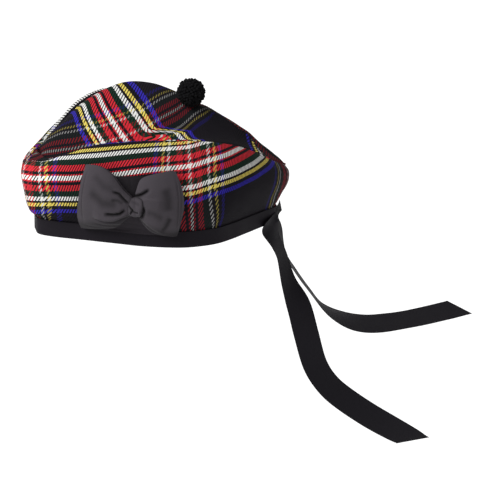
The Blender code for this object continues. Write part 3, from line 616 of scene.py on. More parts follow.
# Along the far seam the top piece sinks, and the far panel's rim stands up behind it
RIM = Table("turn sink lift", [
    (0.00, 0.0000, 0.0000),
    (0.03, 0.0012, 0.0000),
    (0.06, 0.0026, 0.0000),
    (0.10, 0.0022, 0.0000),
    (0.13, 0.0026, 0.0000),
    (0.20, 0.0030, 0.0002),
    (0.24, 0.0039, 0.0009),
    (0.28, 0.0036, 0.0013),
    (0.32, 0.0026, 0.0013),
    (0.36, 0.0012, 0.0009),
    (0.42, 0.0000, 0.0000),
    (1.00, 0.0000, 0.0000),
])
SINK_FROM = -0.034
SINK_TO = -0.013
RIM_WIDTH = 0.0045
RIM_FADE_FROM = 0.006
RIM_FADE_TO = 0.030


def smooth_step(low, high, value):
    """From 0 at low to 1 at high, with level ends."""
    t = min(max((value - low) / (high - low), 0), 1)
    return t * t * (3 - 2 * t)


def station_turn(index, count):
    """Spreads the stations, a little closer together at the front and the back."""
    t = index / count
    return t - STATION_CROWDING * math.sin(2 * math.pi * t)


def plan_raw(turn, side):
    """Point of the band's outline, level with its lower edge."""
    along, out = PLAN.read("along", turn), PLAN.read("out", turn)
    return Vector(((along - 0.5) * BAND_LENGTH, side * out * BAND_WIDTH / 2, 0))


def plan_outward(turn, side):
    """Level direction that points out of the head opening."""
    along = plan_raw(turn + PLAN_STEP, 1) - plan_raw(turn - PLAN_STEP, 1)
    if turn in (0, 1):
        along.x = 0
    return Vector((-along.y, side * along.x, 0)).normalized()


def plan_point(turn, side, inset, height):
    return plan_raw(turn, side) - plan_outward(turn, side) * inset + Vector((0, 0, height))


def seam_point(turn, side):
    """Point on the seam between a side panel and the top piece."""
    if side < 0:
        rows, out, lift = NEAR_SEAM, NEAR_SEAM_OUT, NEAR_SEAM_LIFT
    else:
        rows, out, lift = FAR_SEAM, FAR_SEAM_OUT, FAR_SEAM_LIFT
    along = rows.read("along", turn)
    tip_line = FRONT_TIP_HEIGHT + (BACK_TIP_HEIGHT - FRONT_TIP_HEIGHT) * along
    return Vector((
        -BAND_LENGTH / 2 + CROWN_SET_BACK + along * CROWN_LENGTH,
        side * out * rows.read("out", turn),
        tip_line + lift * rows.read("lift", turn),
    ))


def panel_line(turn, side, shares):
    """Points on a side panel's outer skin at one turn, each a share of the way up."""
    name = "near" if side < 0 else "far"
    low = plan_point(turn, side, PANEL_INSET, BAND_HEIGHT + HEM_STAND)
    high = seam_point(turn, side)
    outward = plan_outward(turn, side) * SIDE_BULGE * SIDES.read(name + "_bulge", turn)
    roll = PANEL_ROLL * SIDES.read(name + "_roll", turn)
    sag, tuck = SIDES.read("sag", turn), SIDES.read("tuck", turn)
    line = []
    for share in shares:
        if share < 0:
            line.append(low + Vector((0, 0, (high.z - low.z) * share)))
            continue
        out = BULGE.read("out", share)
        out += sag * BULGE.read("sag", share) + tuck * BULGE.read("tuck", share)
        point = low.lerp(high, share) + outward * out
        point.z += roll * ROLL.read("out", share)
        line.append(point)
    return line


def top_line(turn, shares):
    """Points on the top piece at one turn, from the near seam (0) to the far seam (1)."""
    near, far = seam_point(turn, -1), seam_point(turn, 1)
    profile = Table("across lift", [
        (0, 0),
        (TOP.read("valley_at", turn), -VALLEY_DEPTH * TOP.read("valley", turn)),
        (TOP.read("crest_at", turn), CREST_LIFT * TOP.read("crest", turn)),
        (1, 0),
    ])
    line = []
    for across in shares:
        point = near.lerp(far, across)
        point.z += profile.read("lift", across)
        line.append(point)
    return line


def top_point(turn, across):
    return top_line(turn, [across])[0]


def arc_lengths(points):
    """Distance along a line of points, at each of them."""
    arcs = [0.0]
    for here, there in zip(points, points[1:]):
        arcs.append(arcs[-1] + (there - here).length)
    return arcs


class Section:
    """The whole cap cut across at one turn: near panel, top piece, far panel."""

    panel_shares = [i / PANEL_STEPS for i in range(PANEL_STEPS + 1)]
    top_shares = [i / TOP_STEPS for i in range(TOP_STEPS + 1)]

    def __init__(self, turn):
        self.turn = turn
        near_hem, far_hem = (plan_point(turn, side, PANEL_INSET, HEM_LIFT) for side in (-1, 1))
        near, far = (panel_line(turn, side, self.panel_shares) for side in (-1, 1))
        top = top_line(turn, self.top_shares)
        self.shape_rim(top, far)
        self.points = [near_hem] + near + top[1:] + far[-2::-1] + [far_hem]
        self.arcs = arc_lengths(self.points)
        self.near_band = self.arcs[1]
        self.near_edge = self.arcs[1 + PANEL_STEPS]
        self.far_edge = self.arcs[1 + PANEL_STEPS + TOP_STEPS]
        self.far_band = self.arcs[-2]
        self.end = self.arcs[-1]
        self.near_seam = self.near_edge - SEAM_INSET.read("near", turn)
        self.far_seam = self.far_edge - SEAM_INSET.read("far", turn)

    def shape_rim(self, top, far):
        """Sinks the top piece towards the far seam, where the far panel's rim stands up.
        The top's width grows as its points sink, so it is measured again for each."""
        sink, lift = RIM.read("sink", self.turn), RIM.read("lift", self.turn)
        for point, arc in zip(top, arc_lengths(top)):
            beyond = arc - arc_lengths(top)[-1]
            point.z -= sink * smooth_step(SINK_FROM, SINK_TO, beyond)
        arcs = arc_lengths(far)
        for point, arc in zip(far, arcs):
            below = arcs[-1] - arc
            if below > 0:
                inside = smooth_step(0, RIM_WIDTH, below)
                point.z -= sink * (1 - inside)
                point.z += lift * inside * (1 - smooth_step(RIM_FADE_FROM, RIM_FADE_TO, below))

    def at(self, arc):
        """Point at a distance round the section."""
        i = min(max(bisect.bisect_right(self.arcs, arc) - 1, 0), len(self.points) - 2)
        span = self.arcs[i + 1] - self.arcs[i]
        share = (arc - self.arcs[i]) / span if span > 0 else 0
        return self.points[i].lerp(self.points[i + 1], min(max(share, 0), 1))


def math_node(operation):
    """A method of Field that adds a Math node, with the field as its first value."""

    def method(field, *others):
        values = dict(enumerate((field, *others)))
        return field.finish.node("ShaderNodeMath", {"operation": operation}, values)

    return method


class Field:
    """A value in a material, on which Python's operators make Math nodes."""

    __add__ = __radd__ = math_node("ADD")
    __sub__ = math_node("SUBTRACT")
    __mul__ = __rmul__ = math_node("MULTIPLY")
    __truediv__ = math_node("DIVIDE")
    __mod__ = math_node("FLOORED_MODULO")
    __lt__ = math_node("LESS_THAN")
    __abs__ = math_node("ABSOLUTE")
    __floor__ = math_node("FLOOR")
    sine = math_node("SINE")

    def __init__(self, finish, socket):
        self.finish = finish
        self.socket = socket

    def __rsub__(self, other):
        return self.finish.node("ShaderNodeMath", {"operation": "SUBTRACT"}, {0: other, 1: self})


class Finish:
    """A material of one of the cap's surfaces."""

    def __init__(self, name, roughness, gloss=0.5, sheen=0.0):
        self.material = bpy.data.materials.new(name)
        self.material.use_nodes = True
        self.tree = self.material.node_tree
        self.shader = self.tree.nodes["Principled BSDF"]
        self.set(Roughness=roughness, Sheen_Weight=sheen, Sheen_Roughness=0.5)
        self.set(Specular_IOR_Level=gloss)

    def node(self, kind, settings, inputs, output=0):
        """Adds a node, with its settings first and then the values or links of its sockets."""
        made = self.tree.nodes.new(kind)
        for key, value in settings.items():
            if key == "stops":
                self.set_stops(made.color_ramp, value)
            else:
                setattr(made, key, value)
        for key, value in inputs.items():
            self.join(made.inputs[key], value)
        return Field(self, made.outputs[output])

    def set_stops(self, ramp, stops):
        ramp.interpolation = "CONSTANT"
        while len(ramp.elements) < len(stops):
            ramp.elements.new(1)
        for element, (place, colour) in zip(ramp.elements, stops):
            element.position = place
            element.color = (*colour, 1)

    def join(self, socket, value):
        if isinstance(value, Field):
            self.tree.links.new(value.socket, socket)
        else:
            socket.default_value = value

    def set(self, **values):
        """Gives the shader's sockets their values or links."""
        for name, value in values.items():
            self.join(self.shader.inputs[name.replace("_", " ")], value)

    def cloth_place(self):
        """The two coordinates of the piece's own cloth, in metres."""
        place = self.node("ShaderNodeUVMap", {"uv_map": "cloth"}, {})
        return [
            self.node("ShaderNodeSeparateXYZ", {}, {0: place}, output=axis) for axis in (0, 1)
        ]

    def noise(self, scale, detail):
        place = self.node("ShaderNodeTexCoord", {}, {}, output="Object")
        sockets = {"Vector": place, "Scale": scale, "Detail": detail, "Roughness": 0.5}
        return self.node("ShaderNodeTexNoise", {}, sockets)

    def mix(self, factor, first, second):
        settings = {"data_type": "RGBA", "clamp_factor": True}
        return self.node("ShaderNodeMix", settings, {0: factor, 6: first, 7: second}, output=2)

    def tint(self, colour, amount):
        """Multiplies a colour by a value."""
        grey = self.node("ShaderNodeCombineXYZ", {}, {0: amount, 1: amount, 2: amount})
        return self.node("ShaderNodeVectorMath", {"operation": "MULTIPLY"}, {0: colour, 1: grey})

    def bump(self, height, distance, strength):
        sockets = {"Height": height, "Distance": distance, "Strength": strength}
        return self.node("ShaderNodeBump", {}, sockets)


def tartan_cloth(name, wide, tall, weft_share, crossing_light):
    """Wool tartan in a twill, whose steep lines are wide and tall apart, in metres.
    Each yarn has its own colour from the sett. The crossing yarns lie deeper, so painted shade leaves
    them only crossing_light of their colour, and more of it in a bright stripe. Painted shade also
    darkens every yarn towards its edges."""
    finish = Finish(name, 0.88, gloss=0.10)
    warp_place, weft_place = finish.cloth_place()

    def yarn_colour(place, edge):
        """Colour of the yarn at a place, from the sett's edges of that name."""
        middle = (math.floor(place / YARN) + 0.5) * YARN
        off_middle = abs((middle / TARTAN_REPEAT + 0.5) % 1 - 0.5) * 2
        stops, start = [], 0.0
        for stripe in SETT:
            stops.append((start, stripe.colour))
            start = getattr(stripe, edge) / (TARTAN_REPEAT / 2)
        return finish.node("ShaderNodeValToRGB", {"stops": stops}, {0: off_middle})

    def roundness(place):
        """Height of a yarn's round back, from 0 at its edge to 1 at its middle."""
        off = (place / YARN) % 1 - 0.5
        return 1 - off * off * 4

    warp_round, weft_round = roundness(warp_place), roundness(weft_place)
    phase = (warp_place / wide - weft_place / tall + warp_round * 0.05 - weft_round * 0.05) % 1
    weft_over = phase < weft_share
    weft_colour = yarn_colour(weft_place, "edge")
    colour = finish.mix(weft_over, yarn_colour(warp_place, "crossing_edge"), weft_colour)
    brightness = finish.node("ShaderNodeSeparateColor", {}, {0: weft_colour}, output=0)
    # Painted shade: the share of their colour that the crossing yarns keep where they lie under
    under = 1 - (1 - brightness) * (1 - crossing_light)
    height = warp_round + (weft_round - warp_round) * weft_over
    wool, wear = finish.noise(900, 3), finish.noise(35, 2)
    # Painted shade darkens each yarn towards its edges, from height; wool and wear add random tone
    light = height * 0.35 + wool * 0.35 + wear * 0.25 + 0.50
    finish.set(
        Base_Color=finish.tint(colour, (weft_over * (1 - under) + under) * light),
        Roughness=wool * 0.2 + 0.78,
        Normal=finish.bump(height + wool * 0.4, 0.00025, 0.7),
    )
    return finish.material


def ribbon(name, colour, rib, roughness, gloss, rib_depth, sheen=0.0):
    """Woven ribbon with fine ribs across it and soft marks from handling. Painted shade from the fold
    attribute darkens its colour.
    """
    finish = Finish(name, roughness, gloss, sheen)
    along, across = finish.cloth_place()
    ribs = (along * (2 * math.pi / rib)).sine() * 0.5 + 0.5
    threads = (across * (2 * math.pi / (rib * 0.45))).sine() * 0.5 + 0.5
    marks, grain = finish.noise(60, 3), finish.noise(1500, 2)
    weave = ribs * 0.7 + threads * 0.3
    # The fold attribute holds painted shade, which darkens the colour below by up to nine tenths
    fold = finish.node("ShaderNodeAttribute", {"attribute_name": "fold"}, {}, output="Fac")
    marked = finish.mix(marks, (*colour, 1), (*[c * 1.35 for c in colour], 1))
    finish.set(
        Base_Color=finish.tint(marked, (weave * 0.25 + grain * 0.25 + 0.75) * (1 - fold * 0.9)),
        Roughness=marks * 0.25 + (roughness - 0.12),
        Normal=finish.bump(weave + grain * 0.3, rib_depth, 0.6),
    )
    return finish.material


def pompom_yarn():
    """Soft black yarn, twisted and a little fuzzy."""
    finish = Finish("pompom_yarn", 0.95, gloss=0.10)
    along, round_about = finish.cloth_place()
    twist = ((along / YARN_TWIST + round_about) * (2 * math.pi)).sine() * 0.5 + 0.5
    fuzz = finish.noise(1200, 3)
    # Painted light and shade along the twist, with random tone from the fuzz
    finish.set(
        Base_Color=finish.mix(twist * 0.5 + fuzz * 0.5, YARN_SHADE, YARN_LIGHT),
        Roughness=fuzz * 0.15 + 0.85,
        Normal=finish.bump(twist + fuzz, 0.0003, 0.8),
    )
    return finish.material


def select_only(piece):
    bpy.ops.object.select_all(action="DESELECT")
    bpy.context.view_layer.objects.active = piece
    piece.select_set(True)


# Where a vertex goes, its place on the cloth, and how much painted shade darkens the ribbon there, stored
# as the fold attribute
Spot = namedtuple("Spot", "point cloth fold", defaults=[None])


def shaped_grid(name, columns, rows, spot, inside_out=False):
    """A grid primitive whose vertices each follow spot(i, j), with the place on the cloth as a UV map
    and, where the ribbon has it, the painted shade as the fold attribute."""
    bpy.ops.object.select_all(action="DESELECT")
    bpy.ops.mesh.primitive_grid_add(x_subdivisions=columns, y_subdivisions=rows, size=1)
    piece = bpy.context.object
    piece.name = name
    mesh = piece.data
    mesh.name = name
    spots = [spot(i, j) for j in range(rows + 1) for i in range(columns + 1)]
    for vertex, there in zip(mesh.vertices, spots):
        vertex.co = there.point
    mesh.uv_layers.remove(mesh.uv_layers[0])
    layer = mesh.uv_layers.new(name="cloth")
    for loop in mesh.loops:
        layer.uv[loop.index].vector = spots[loop.vertex_index].cloth
    if spots[0].fold is not None:
        painted_shade_values = mesh.attributes.new(name="fold", type="FLOAT", domain="POINT")
        for value, there in zip(painted_shade_values.data, spots):
            value.value = there.fold
    if inside_out:
        mesh.flip_normals()
    mesh.update()
    return piece


def close_piece(piece, outwards=False):
    """Closes a piece where its ends meet, and drops faces without any area."""
    select_only(piece)
    bpy.ops.object.mode_set(mode="EDIT")
    bpy.ops.mesh.select_all(action="SELECT")
    bpy.ops.mesh.remove_doubles(threshold=1e-6)
    bpy.ops.mesh.dissolve_degenerate(threshold=1e-7)
    if outwards:
        bpy.ops.mesh.select_all(action="SELECT")
        bpy.ops.mesh.normals_make_consistent(inside=False)
    bpy.ops.object.mode_set(mode="OBJECT")


def thicken(piece, wall, side=-1.0):
    """Gives a sheet its wall, inwards of its outer skin, or half to each side for side 0."""
    bpy.context.view_layer.objects.active = piece
    bpy.ops.object.modifier_add(type="SOLIDIFY")
    modifier = piece.modifiers[-1]
    modifier.thickness = wall
    modifier.offset = side
    modifier.use_even_offset = False
    bpy.ops.object.modifier_apply(modifier=modifier.name)


def finish_piece(piece, material, node):
    """Sets the finish of a new piece and the body it rides on, and hides the CAD part of the node it
    stands for.
    """
    piece.data.materials.clear()
    piece.data.materials.append(material)
    select_only(piece)
    bpy.ops.object.shade_smooth_by_angle(angle=SMOOTH_ANGLE)
    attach(piece, "root")
    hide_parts(node)


def grid_normal(points, i, j):
    """Normal of a grid of points at one of them."""
    rows, columns = len(points), len(points[0])
    along = points[min(i + 1, rows - 1)][j] - points[max(i - 1, 0)][j]
    across = points[i][min(j + 1, columns - 1)] - points[i][max(j - 1, 0)]
    return along.cross(across).normalized()


SECTIONS = [Section(station_turn(i, STATIONS)) for i in range(STATIONS + 1)]


def cloth_grid(start, end, rows):
    """Points of a cloth piece between two lines of the cap, and their places in arcs."""
    points, arcs = [], []
    for section in SECTIONS:
        low, high = start(section), end(section)
        line = [low + (high - low) * j / rows for j in range(rows + 1)]
        arcs.append(line)
        points.append([section.at(arc) for arc in line])
    return points, arcs


def seam_groove(distance):
    """How far the cloth turns in beside a seam."""
    return -SEAM_DEPTH * max(1 - distance / SEAM_REACH, 0) ** 2


def cloth_ripple(point, height):
    """Slow unevenness of the cloth, with a finer one on it."""
    fine = 0.4 * height
    return height * noise.noise(point * RIPPLES) + fine * noise.noise(point * FINE_RIPPLES)


def near_cloth(turn, high, top):
    """Where in the tartan a point of the near panel lies: lengthwise, and up the cloth."""
    weft = high - NEAR_CLOTH.read("middle", turn)
    if weft < 0:
        weft *= NEAR_CLOTH.read("low", turn)
    bend = (high / max(top, NO_WIDTH) - BEND_MIDDLE) / BEND_REACH
    return NEAR_CLOTH.read("along", turn) - NEAR_CLOTH.read("lean", turn) * bend**2, weft


def far_cloth(turn, high, top):
    """The same for the far panel, whose white line follows the seam at the front."""
    low_end = -FAR_CLOTH.read("hem", turn)
    high_end = FAR_CLOTH.read("seam", turn)
    slope = (high_end - low_end) / top
    below = max(top - high, 0)
    drawn_in = FAR_CLOTH.read("squeeze", turn) - slope
    drawn_in *= FAR_REACH * (1 - math.exp(-below / FAR_REACH))
    weft = high_end - slope * below - drawn_in * (1 - below / top)
    return FAR_CLOTH.read("along", turn), weft


def top_cloth(section, arc):
    """The same for the top piece, whose strong stripes run across it."""
    turn = section.turn
    from_near = arc - section.near_edge
    across = from_near / max(section.far_edge - section.near_edge, NO_WIDTH)
    weft = from_near - TOP_CLOTH.read("middle", turn)
    if weft < 0:
        weft *= TOP_CLOTH.read("low", turn)
    turn_slip = 0
    if from_near > TUCK.read("fold", turn):
        weft = TUCK_LINE + (from_near - TUCK.read("start", turn)) * TUCK_SQUEEZE
        turn_slip = TUCK_SLIP
    past_crest = CREST_SOFT * math.log1p(math.exp((across - CREST_ACROSS) / CREST_SOFT))
    further_back = smooth_step(CREST_LEAN_FROM, CREST_LEAN_TO, turn)
    crest_lean = CREST_LEAN_FRONT + (CREST_LEAN_BACK - CREST_LEAN_FRONT) * further_back
    leant = across - (1 - crest_lean) * past_crest
    warp = TOP_CLOTH.read("along", turn) - TOP_CLOTH.read("lean", turn) * (TOP_LINE_ACROSS - leant)
    slip = CREASE_SLIP.read("slip", turn) * smooth_step(CREASE_FROM, CREASE_TO, across)
    return weft, warp - (slip + turn_slip)


def build_panel(name, side, tartan):
    """A side panel of the cap, from inside the binding up to its seam with the top."""
    if side < 0:
        points, arcs = cloth_grid(lambda s: 0.0, lambda s: s.near_seam, PANEL_ROWS)
    else:
        points, arcs = cloth_grid(lambda s: s.end, lambda s: s.far_seam, PANEL_ROWS)
    find_cloth = near_cloth if side < 0 else far_cloth
    normals = [[grid_normal(points, i, j) * -side for j in range(PANEL_ROWS + 1)]
               for i in range(STATIONS + 1)]
    for normal in normals[0] + normals[-1]:
        normal.y = 0
        normal.normalize()

    def up_cloth(i, j):
        """Distance up the cloth from the band."""
        section = SECTIONS[i]
        return arcs[i][j] - section.near_band if side < 0 else section.far_band - arcs[i][j]

    def spot(i, j):
        point, turn = points[i][j], SECTIONS[i].turn
        high, top = up_cloth(i, j), up_cloth(i, PANEL_ROWS)
        free = smooth_step(0, FREE_OF_BAND, high) * smooth_step(0, FREE_OF_RIM, top - high)
        out = seam_groove(top - high) + seam_groove(min(turn, 1 - turn) * BAND_LENGTH)
        out += cloth_ripple(point, PANEL_RIPPLE) * free
        return Spot(point + normals[i][j] * out, find_cloth(turn, high, top))

    piece = shaped_grid(name, STATIONS, PANEL_ROWS, spot, inside_out=side > 0)
    close_piece(piece)
    thicken(piece, CLOTH_WALL)
    finish_piece(piece, tartan, name)


def build_top(tartan):
    """The top piece of the crown, between the two seams."""
    points, arcs = cloth_grid(lambda s: s.near_seam, lambda s: s.far_seam, TOP_ROWS)

    def spot(i, j):
        point, section, arc = points[i][j], SECTIONS[i], arcs[i][j]
        across = arc - arcs[i][0]
        edge = min(across, arcs[i][-1] - arcs[i][0] - across)
        normal = grid_normal(points, min(max(i, 2), STATIONS - 2), j)
        free = smooth_step(0, FREE_OF_SEAM, edge)
        past_fold = arc - section.near_edge - TUCK.read("fold", section.turn)
        out = TUCK_STEP * free * smooth_step(TUCK_EDGE_FROM, TUCK_EDGE_TO, past_fold)
        out *= 1 - smooth_step(0, TUCK_WIDTH, past_fold)
        out += seam_groove(edge)
        out += cloth_ripple(point, TOP_RIPPLE) * free
        return Spot(point + normal * out, top_cloth(section, arc))

    piece = shaped_grid("crown_top", STATIONS, TOP_ROWS, spot)
    close_piece(piece)
    thicken(piece, CLOTH_WALL)
    finish_piece(piece, tartan, "crown_top")


def build_headband(material):
    """The binding ribbon, folded over the lower edge of the panels."""
    # Its outline goes down outside, round the fold, up inside, and back along the cloth
    deep = 2 * BINDING_WALL + CLOTH_WALL + 2 * GAP
    edge = BINDING_WALL / 2
    outline = [(edge, BAND_HEIGHT), (EDGE_IN * edge, BAND_HEIGHT - EDGE_DOWN * edge)]
    outline += [(0, BAND_HEIGHT * (1 - k / 8)) for k in range(1, 8)]
    for angle in [math.pi * k / 6 for k in range(7)]:
        inset = deep / 2 - deep / 2 * math.cos(angle)
        outline.append((inset, FOLD_HEIGHT - FOLD_HEIGHT * math.sin(angle)))
    outline += [(deep, BAND_INSIDE_HEIGHT * k / 5) for k in range(1, 5)]
    outline += [(deep - edge, BAND_INSIDE_HEIGHT), (deep - BINDING_WALL, BAND_INSIDE_HEIGHT - edge)]
    outline += [(deep - BINDING_WALL, HEM_LIFT), (BINDING_WALL, HEM_LIFT)]
    outline += [(BINDING_WALL, BAND_HEIGHT - edge), (edge, BAND_HEIGHT)]
    arcs = arc_lengths([Vector((a, b, 0)) for a, b in outline])
    half = BAND_STATIONS
    around = [(-1, i) for i in range(half)] + [(1, i) for i in range(half, 0, -1)] + [(-1, 0)]
    middle = [plan_point(station_turn(i, half), side, 0, 0) for side, i in around]
    lengths = arc_lengths(middle)

    def spot(i, j):
        (side, station), (inset, height) = around[i], outline[j]
        swell = BAND_SWELL * noise.noise(middle[i] * BAND_SWELLS) * min(height / BAND_HEIGHT, 1)
        point = plan_point(station_turn(station, half), side, inset - swell, height)
        return Spot(point, (lengths[i], arcs[j]))

    piece = shaped_grid("headband", 2 * half, len(outline) - 1, spot)
    close_piece(piece, outwards=True)
    finish_piece(piece, material, "headband")


def bow_span(turn_step, share_step):
    """Distance on the side panel from a step before the bow's middle to a step after it."""
    there = panel_line(BOW_TURN + turn_step, -1, [BOW_SHARE + share_step])[0]
    here = panel_line(BOW_TURN - turn_step, -1, [BOW_SHARE - share_step])[0]
    return (there - here).length


BOW_SPAN_ALONG = bow_span(BOW_TURN_STEP, 0)
BOW_SPAN_UP = bow_span(0, BOW_SHARE_STEP)


def bow_skin(along, up):
    """Point of the side panel at a distance along and up from the middle of the bow."""
    turn = BOW_TURN + 2 * BOW_TURN_STEP * along / BOW_SPAN_ALONG
    share = BOW_SHARE + 2 * BOW_SHARE_STEP * up / BOW_SPAN_UP
    return panel_line(turn, -1, [share])[0]


def bow_bed(along, up):
    """Point and outward normal of the surface that the bow lies on."""
    step = BOW_BED_STEP
    across = bow_skin(along + step, up) - bow_skin(along - step, up)
    upward = bow_skin(along, up + step) - bow_skin(along, up - step)
    normal = across.cross(upward).normalized()
    point = bow_skin(along, up)
    over_band = min(max((BAND_HEIGHT + BOW_RAMP - point.z) / BOW_RAMP, 0), 1)
    return point + normal * (BOW_CLEAR + (PANEL_INSET + GAP) * over_band), normal


BED_CELL = 0.0015
BED_START = (-0.066, -0.042)
BED_CELLS = (78, 58)
BED = [
    [bow_bed(BED_START[0] + i * BED_CELL, BED_START[1] + j * BED_CELL) for j in range(BED_CELLS[1])]
    for i in range(BED_CELLS[0])
]


def on_bed(along, up, out):
    """Point at a height over the surface under the bow."""
    column = (along - BED_START[0]) / BED_CELL
    row = (up - BED_START[1]) / BED_CELL
    i = min(max(int(column), 0), BED_CELLS[0] - 2)
    j = min(max(int(row), 0), BED_CELLS[1] - 2)
    a, b = column - i, row - j
    corners = [(i, j, (1 - a) * (1 - b)), (i + 1, j, a * (1 - b)),
               (i, j + 1, (1 - a) * b), (i + 1, j + 1, a * b)]
    point, normal = Vector(), Vector()
    for k, m, weight in corners:
        point += BED[k][m][0] * weight
        normal += BED[k][m][1] * weight
    return point + normal.normalized() * out


def off_path(path, along, up):
    """Signed distance from a path, more than 0 on its left, and the share of the way along it."""
    nearest, run, travelled = None, 0, 0
    for (x, y), (x2, y2) in zip(path, path[1:]):
        dx, dy = x2 - x, y2 - y
        length = math.hypot(dx, dy)
        t = min(max(((along - x) * dx + (up - y) * dy) / length**2, 0), 1)
        gap = math.hypot(along - x - dx * t, up - y - dy * t)
        if nearest is None or gap < abs(nearest):
            left = dx * (up - y) - dy * (along - x)
            nearest, run = math.copysign(gap, left), travelled + length * t
        travelled += length
    return nearest, run / travelled


def crease_relief(creases, along, up):
    """Height that the creases add at a place of the bow, and the painted shade that their grooves put
    there.
    """
    height, fold = 0, 0
    for crease in creases:
        off, run = off_path(crease.path, along, up)
        fade = smooth_step(0, CREASE_FADE, run) * smooth_step(1, 1 - CREASE_FADE, run)
        groove = math.exp(-((off / crease.width) ** 2))
        edge = LIFT_EDGE * crease.width
        rise = crease.lift * smooth_step(-edge, edge, off)
        rise *= math.exp(-max(off, 0) / (LIFT_REACH * crease.width))
        height += fade * (rise - crease.depth * groove)
        # Painted shade in the groove, full where the crease is this deep
        fold += fade * groove * min(crease.depth / PAINTED_SHADE_CREASE_DEPTH, 1)
    return height, min(fold, 1)


Loop = namedtuple("Loop", "name rows edge creases length direction flat")
LOOPS = [
    Loop("bow_loop_front", FRONT_LOOP, "front", FRONT_CREASES, FRONT_LOOP_LENGTH, -1, (0.052, 0.110)),
    Loop("bow_loop_back", BACK_LOOP, "back", BACK_CREASES, BACK_LOOP_LENGTH, 1, (0.050, 0.082)),
]


def loop_sides(loop, reach):
    """Middle height and half the height of a loop of the bow at one reach."""
    top, bottom = (loop.rows.read(side, reach) * BOW_HALF_HEIGHT for side in ("top", "bottom"))
    return (top + bottom) / 2, (top - bottom) / 2


def loop_level(loop, reach, across):
    """Height of a loop's front layer over the surface under the bow, without its creases."""
    puff = loop.rows.read("puff", reach) * BOW_DEPTH * (1 - LOOP_SHOULDER * across**4)
    return BOW_RIBBON_LIFT + LAYER_GAP + max(puff, 2 * BOW_RIBBON_LIFT + LAYER_GAP)


def build_loop(loop, material):
    """A folded ribbon loop of the bow, creased where it is gathered into the knot."""

    def spot(i, j):
        front = i <= LOOP_STEPS
        reach = i / LOOP_STEPS if front else 1 - (i - LOOP_STEPS - 1) / LOOP_STEPS
        across = 2 * j / LOOP_COLUMNS - 1
        end = LOOP_EDGE.read(loop.edge, across)
        stretch = reach * (1 + (end - 1) * reach**LOOP_EDGE_SPREAD)
        run = LOOP_START + (loop.length - LOOP_START) * stretch
        along = loop.direction * run
        middle, half = loop_sides(loop, reach)
        up = middle + half * across
        level, fold = BOW_RIBBON_LIFT + LAYER_GAP, 0
        if front:
            # Painted shade in the creases' grooves and on the lower part of the front layer
            relief, fold = crease_relief(loop.creases, along, up)
            level = max(loop_level(loop, reach, across) + relief, level + BOW_RIBBON_LIFT)
            fold = max(fold, LOWER_SHADE * smooth_step(LOWER_SHADE_FROM, LOWER_SHADE_TO, across))
        else:
            run = 2 * loop.length - run
        return Spot(on_bed(along, up, level), (run, across * loop.flat[0] / 2), fold)

    piece = shaped_grid(
        loop.name, 2 * LOOP_STEPS + 1, LOOP_COLUMNS, spot, inside_out=loop.direction < 0
    )
    thicken(piece, BOW_WALL)
    finish_piece(piece, material, loop.name)


def build_bow_base(material):
    """The ribbon behind the loops, with flat pleats below them and a fold in the notch."""
    low, high = BASE_EDGES.keys[0], BASE_EDGES.keys[-1]

    def spot(i, j):
        share = low + (high - low) * j / BASE_ROWS
        front = -BASE_EDGES.read("front", share) * FRONT_LOOP_LENGTH
        back = BASE_EDGES.read("back", share) * BACK_LOOP_LENGTH
        along, up = front + (back - front) * i / BASE_COLUMNS, share * BOW_HALF_HEIGHT
        # Painted shade: the whole base is darkened at least by BASE_SHADE, more in its creases and most
        # in the notch
        relief, fold = crease_relief(BASE_CREASES, along, up)
        notch = NOTCH_SHADE * smooth_step(NOTCH_FROM, NOTCH_TO, up)
        point = on_bed(along, up, BOW_RIBBON_LIFT + relief * BASE_RELIEF)
        return Spot(point, (along, up), max(notch, fold, BASE_SHADE))

    piece = shaped_grid("bow_base", BASE_COLUMNS, BASE_ROWS, spot)
    thicken(piece, BOW_WALL)
    finish_piece(piece, material, "bow_base")


def under_knot(along, up):
    """Height of the loops' necks under the knot."""
    loop = LOOPS[0] if along < 0 else LOOPS[1]
    reach = max(abs(along) - LOOP_START, 0) / (loop.length - LOOP_START)
    middle, half = loop_sides(loop, reach)
    return loop_level(loop, reach, min(max((up - middle) / half, -KNOT_LAP), KNOT_LAP))


def build_bow_knot(material):
    """The twist of ribbon over the loops' necks, with a groove where its halves cross."""

    def spot(i, j):
        across, rise = 2 * i / KNOT_STEPS - 1, 2 * j / KNOT_STEPS - 1
        narrow = math.sqrt(1 - KNOT_ROUNDNESS * rise**2)
        short = math.sqrt(1 - KNOT_ROUNDNESS * across**2)
        along = KNOT_SET_BACK + KNOT_HALF_WIDTH * across * narrow + KNOT_LEAN * rise
        up = KNOT_HALF_HEIGHT * rise * short - KNOT_DROP
        dome = (1 - across**4) * (1 - rise**4)
        slanted = rise + across * KNOT_FLAT_SLANT
        dome *= 1 - KNOT_FLAT * smooth_step(KNOT_FLAT_FROM, KNOT_FLAT_TO, slanted)
        foot = under_knot(along, up) + LAYER_GAP
        relief, fold = crease_relief(KNOT_CREASES, along, up)
        # Painted shade at the knot's rim and in its creases
        rim = max(abs(across), abs(rise)) ** 8
        point = on_bed(along, up, foot + KNOT_EDGE + KNOT_RISE * dome + relief * dome)
        return Spot(point, (along, up), max(rim, fold))

    piece = shaped_grid("bow_knot", KNOT_STEPS, KNOT_STEPS, spot)
    thicken(piece, KNOT_EDGE)
    finish_piece(piece, material, "bow_knot")


Tail = namedtuple("Tail", "name rows start reach side drop slant flat")


def tail_frame(tail, run):
    """Middle of a tail and its width direction at one place along it."""
    middle = tail.start + Vector((
        tail.reach * tail.rows.read("back", run),
        tail.side * tail.rows.read("side", run),
        -tail.drop * tail.rows.read("down", run),
    ))
    lean = math.radians(tail.rows.read("lean", run))
    swing = math.radians(tail.rows.read("swing", run))
    level = math.cos(lean)
    return middle, Vector((level * math.cos(swing), level * math.sin(swing), math.sin(lean)))


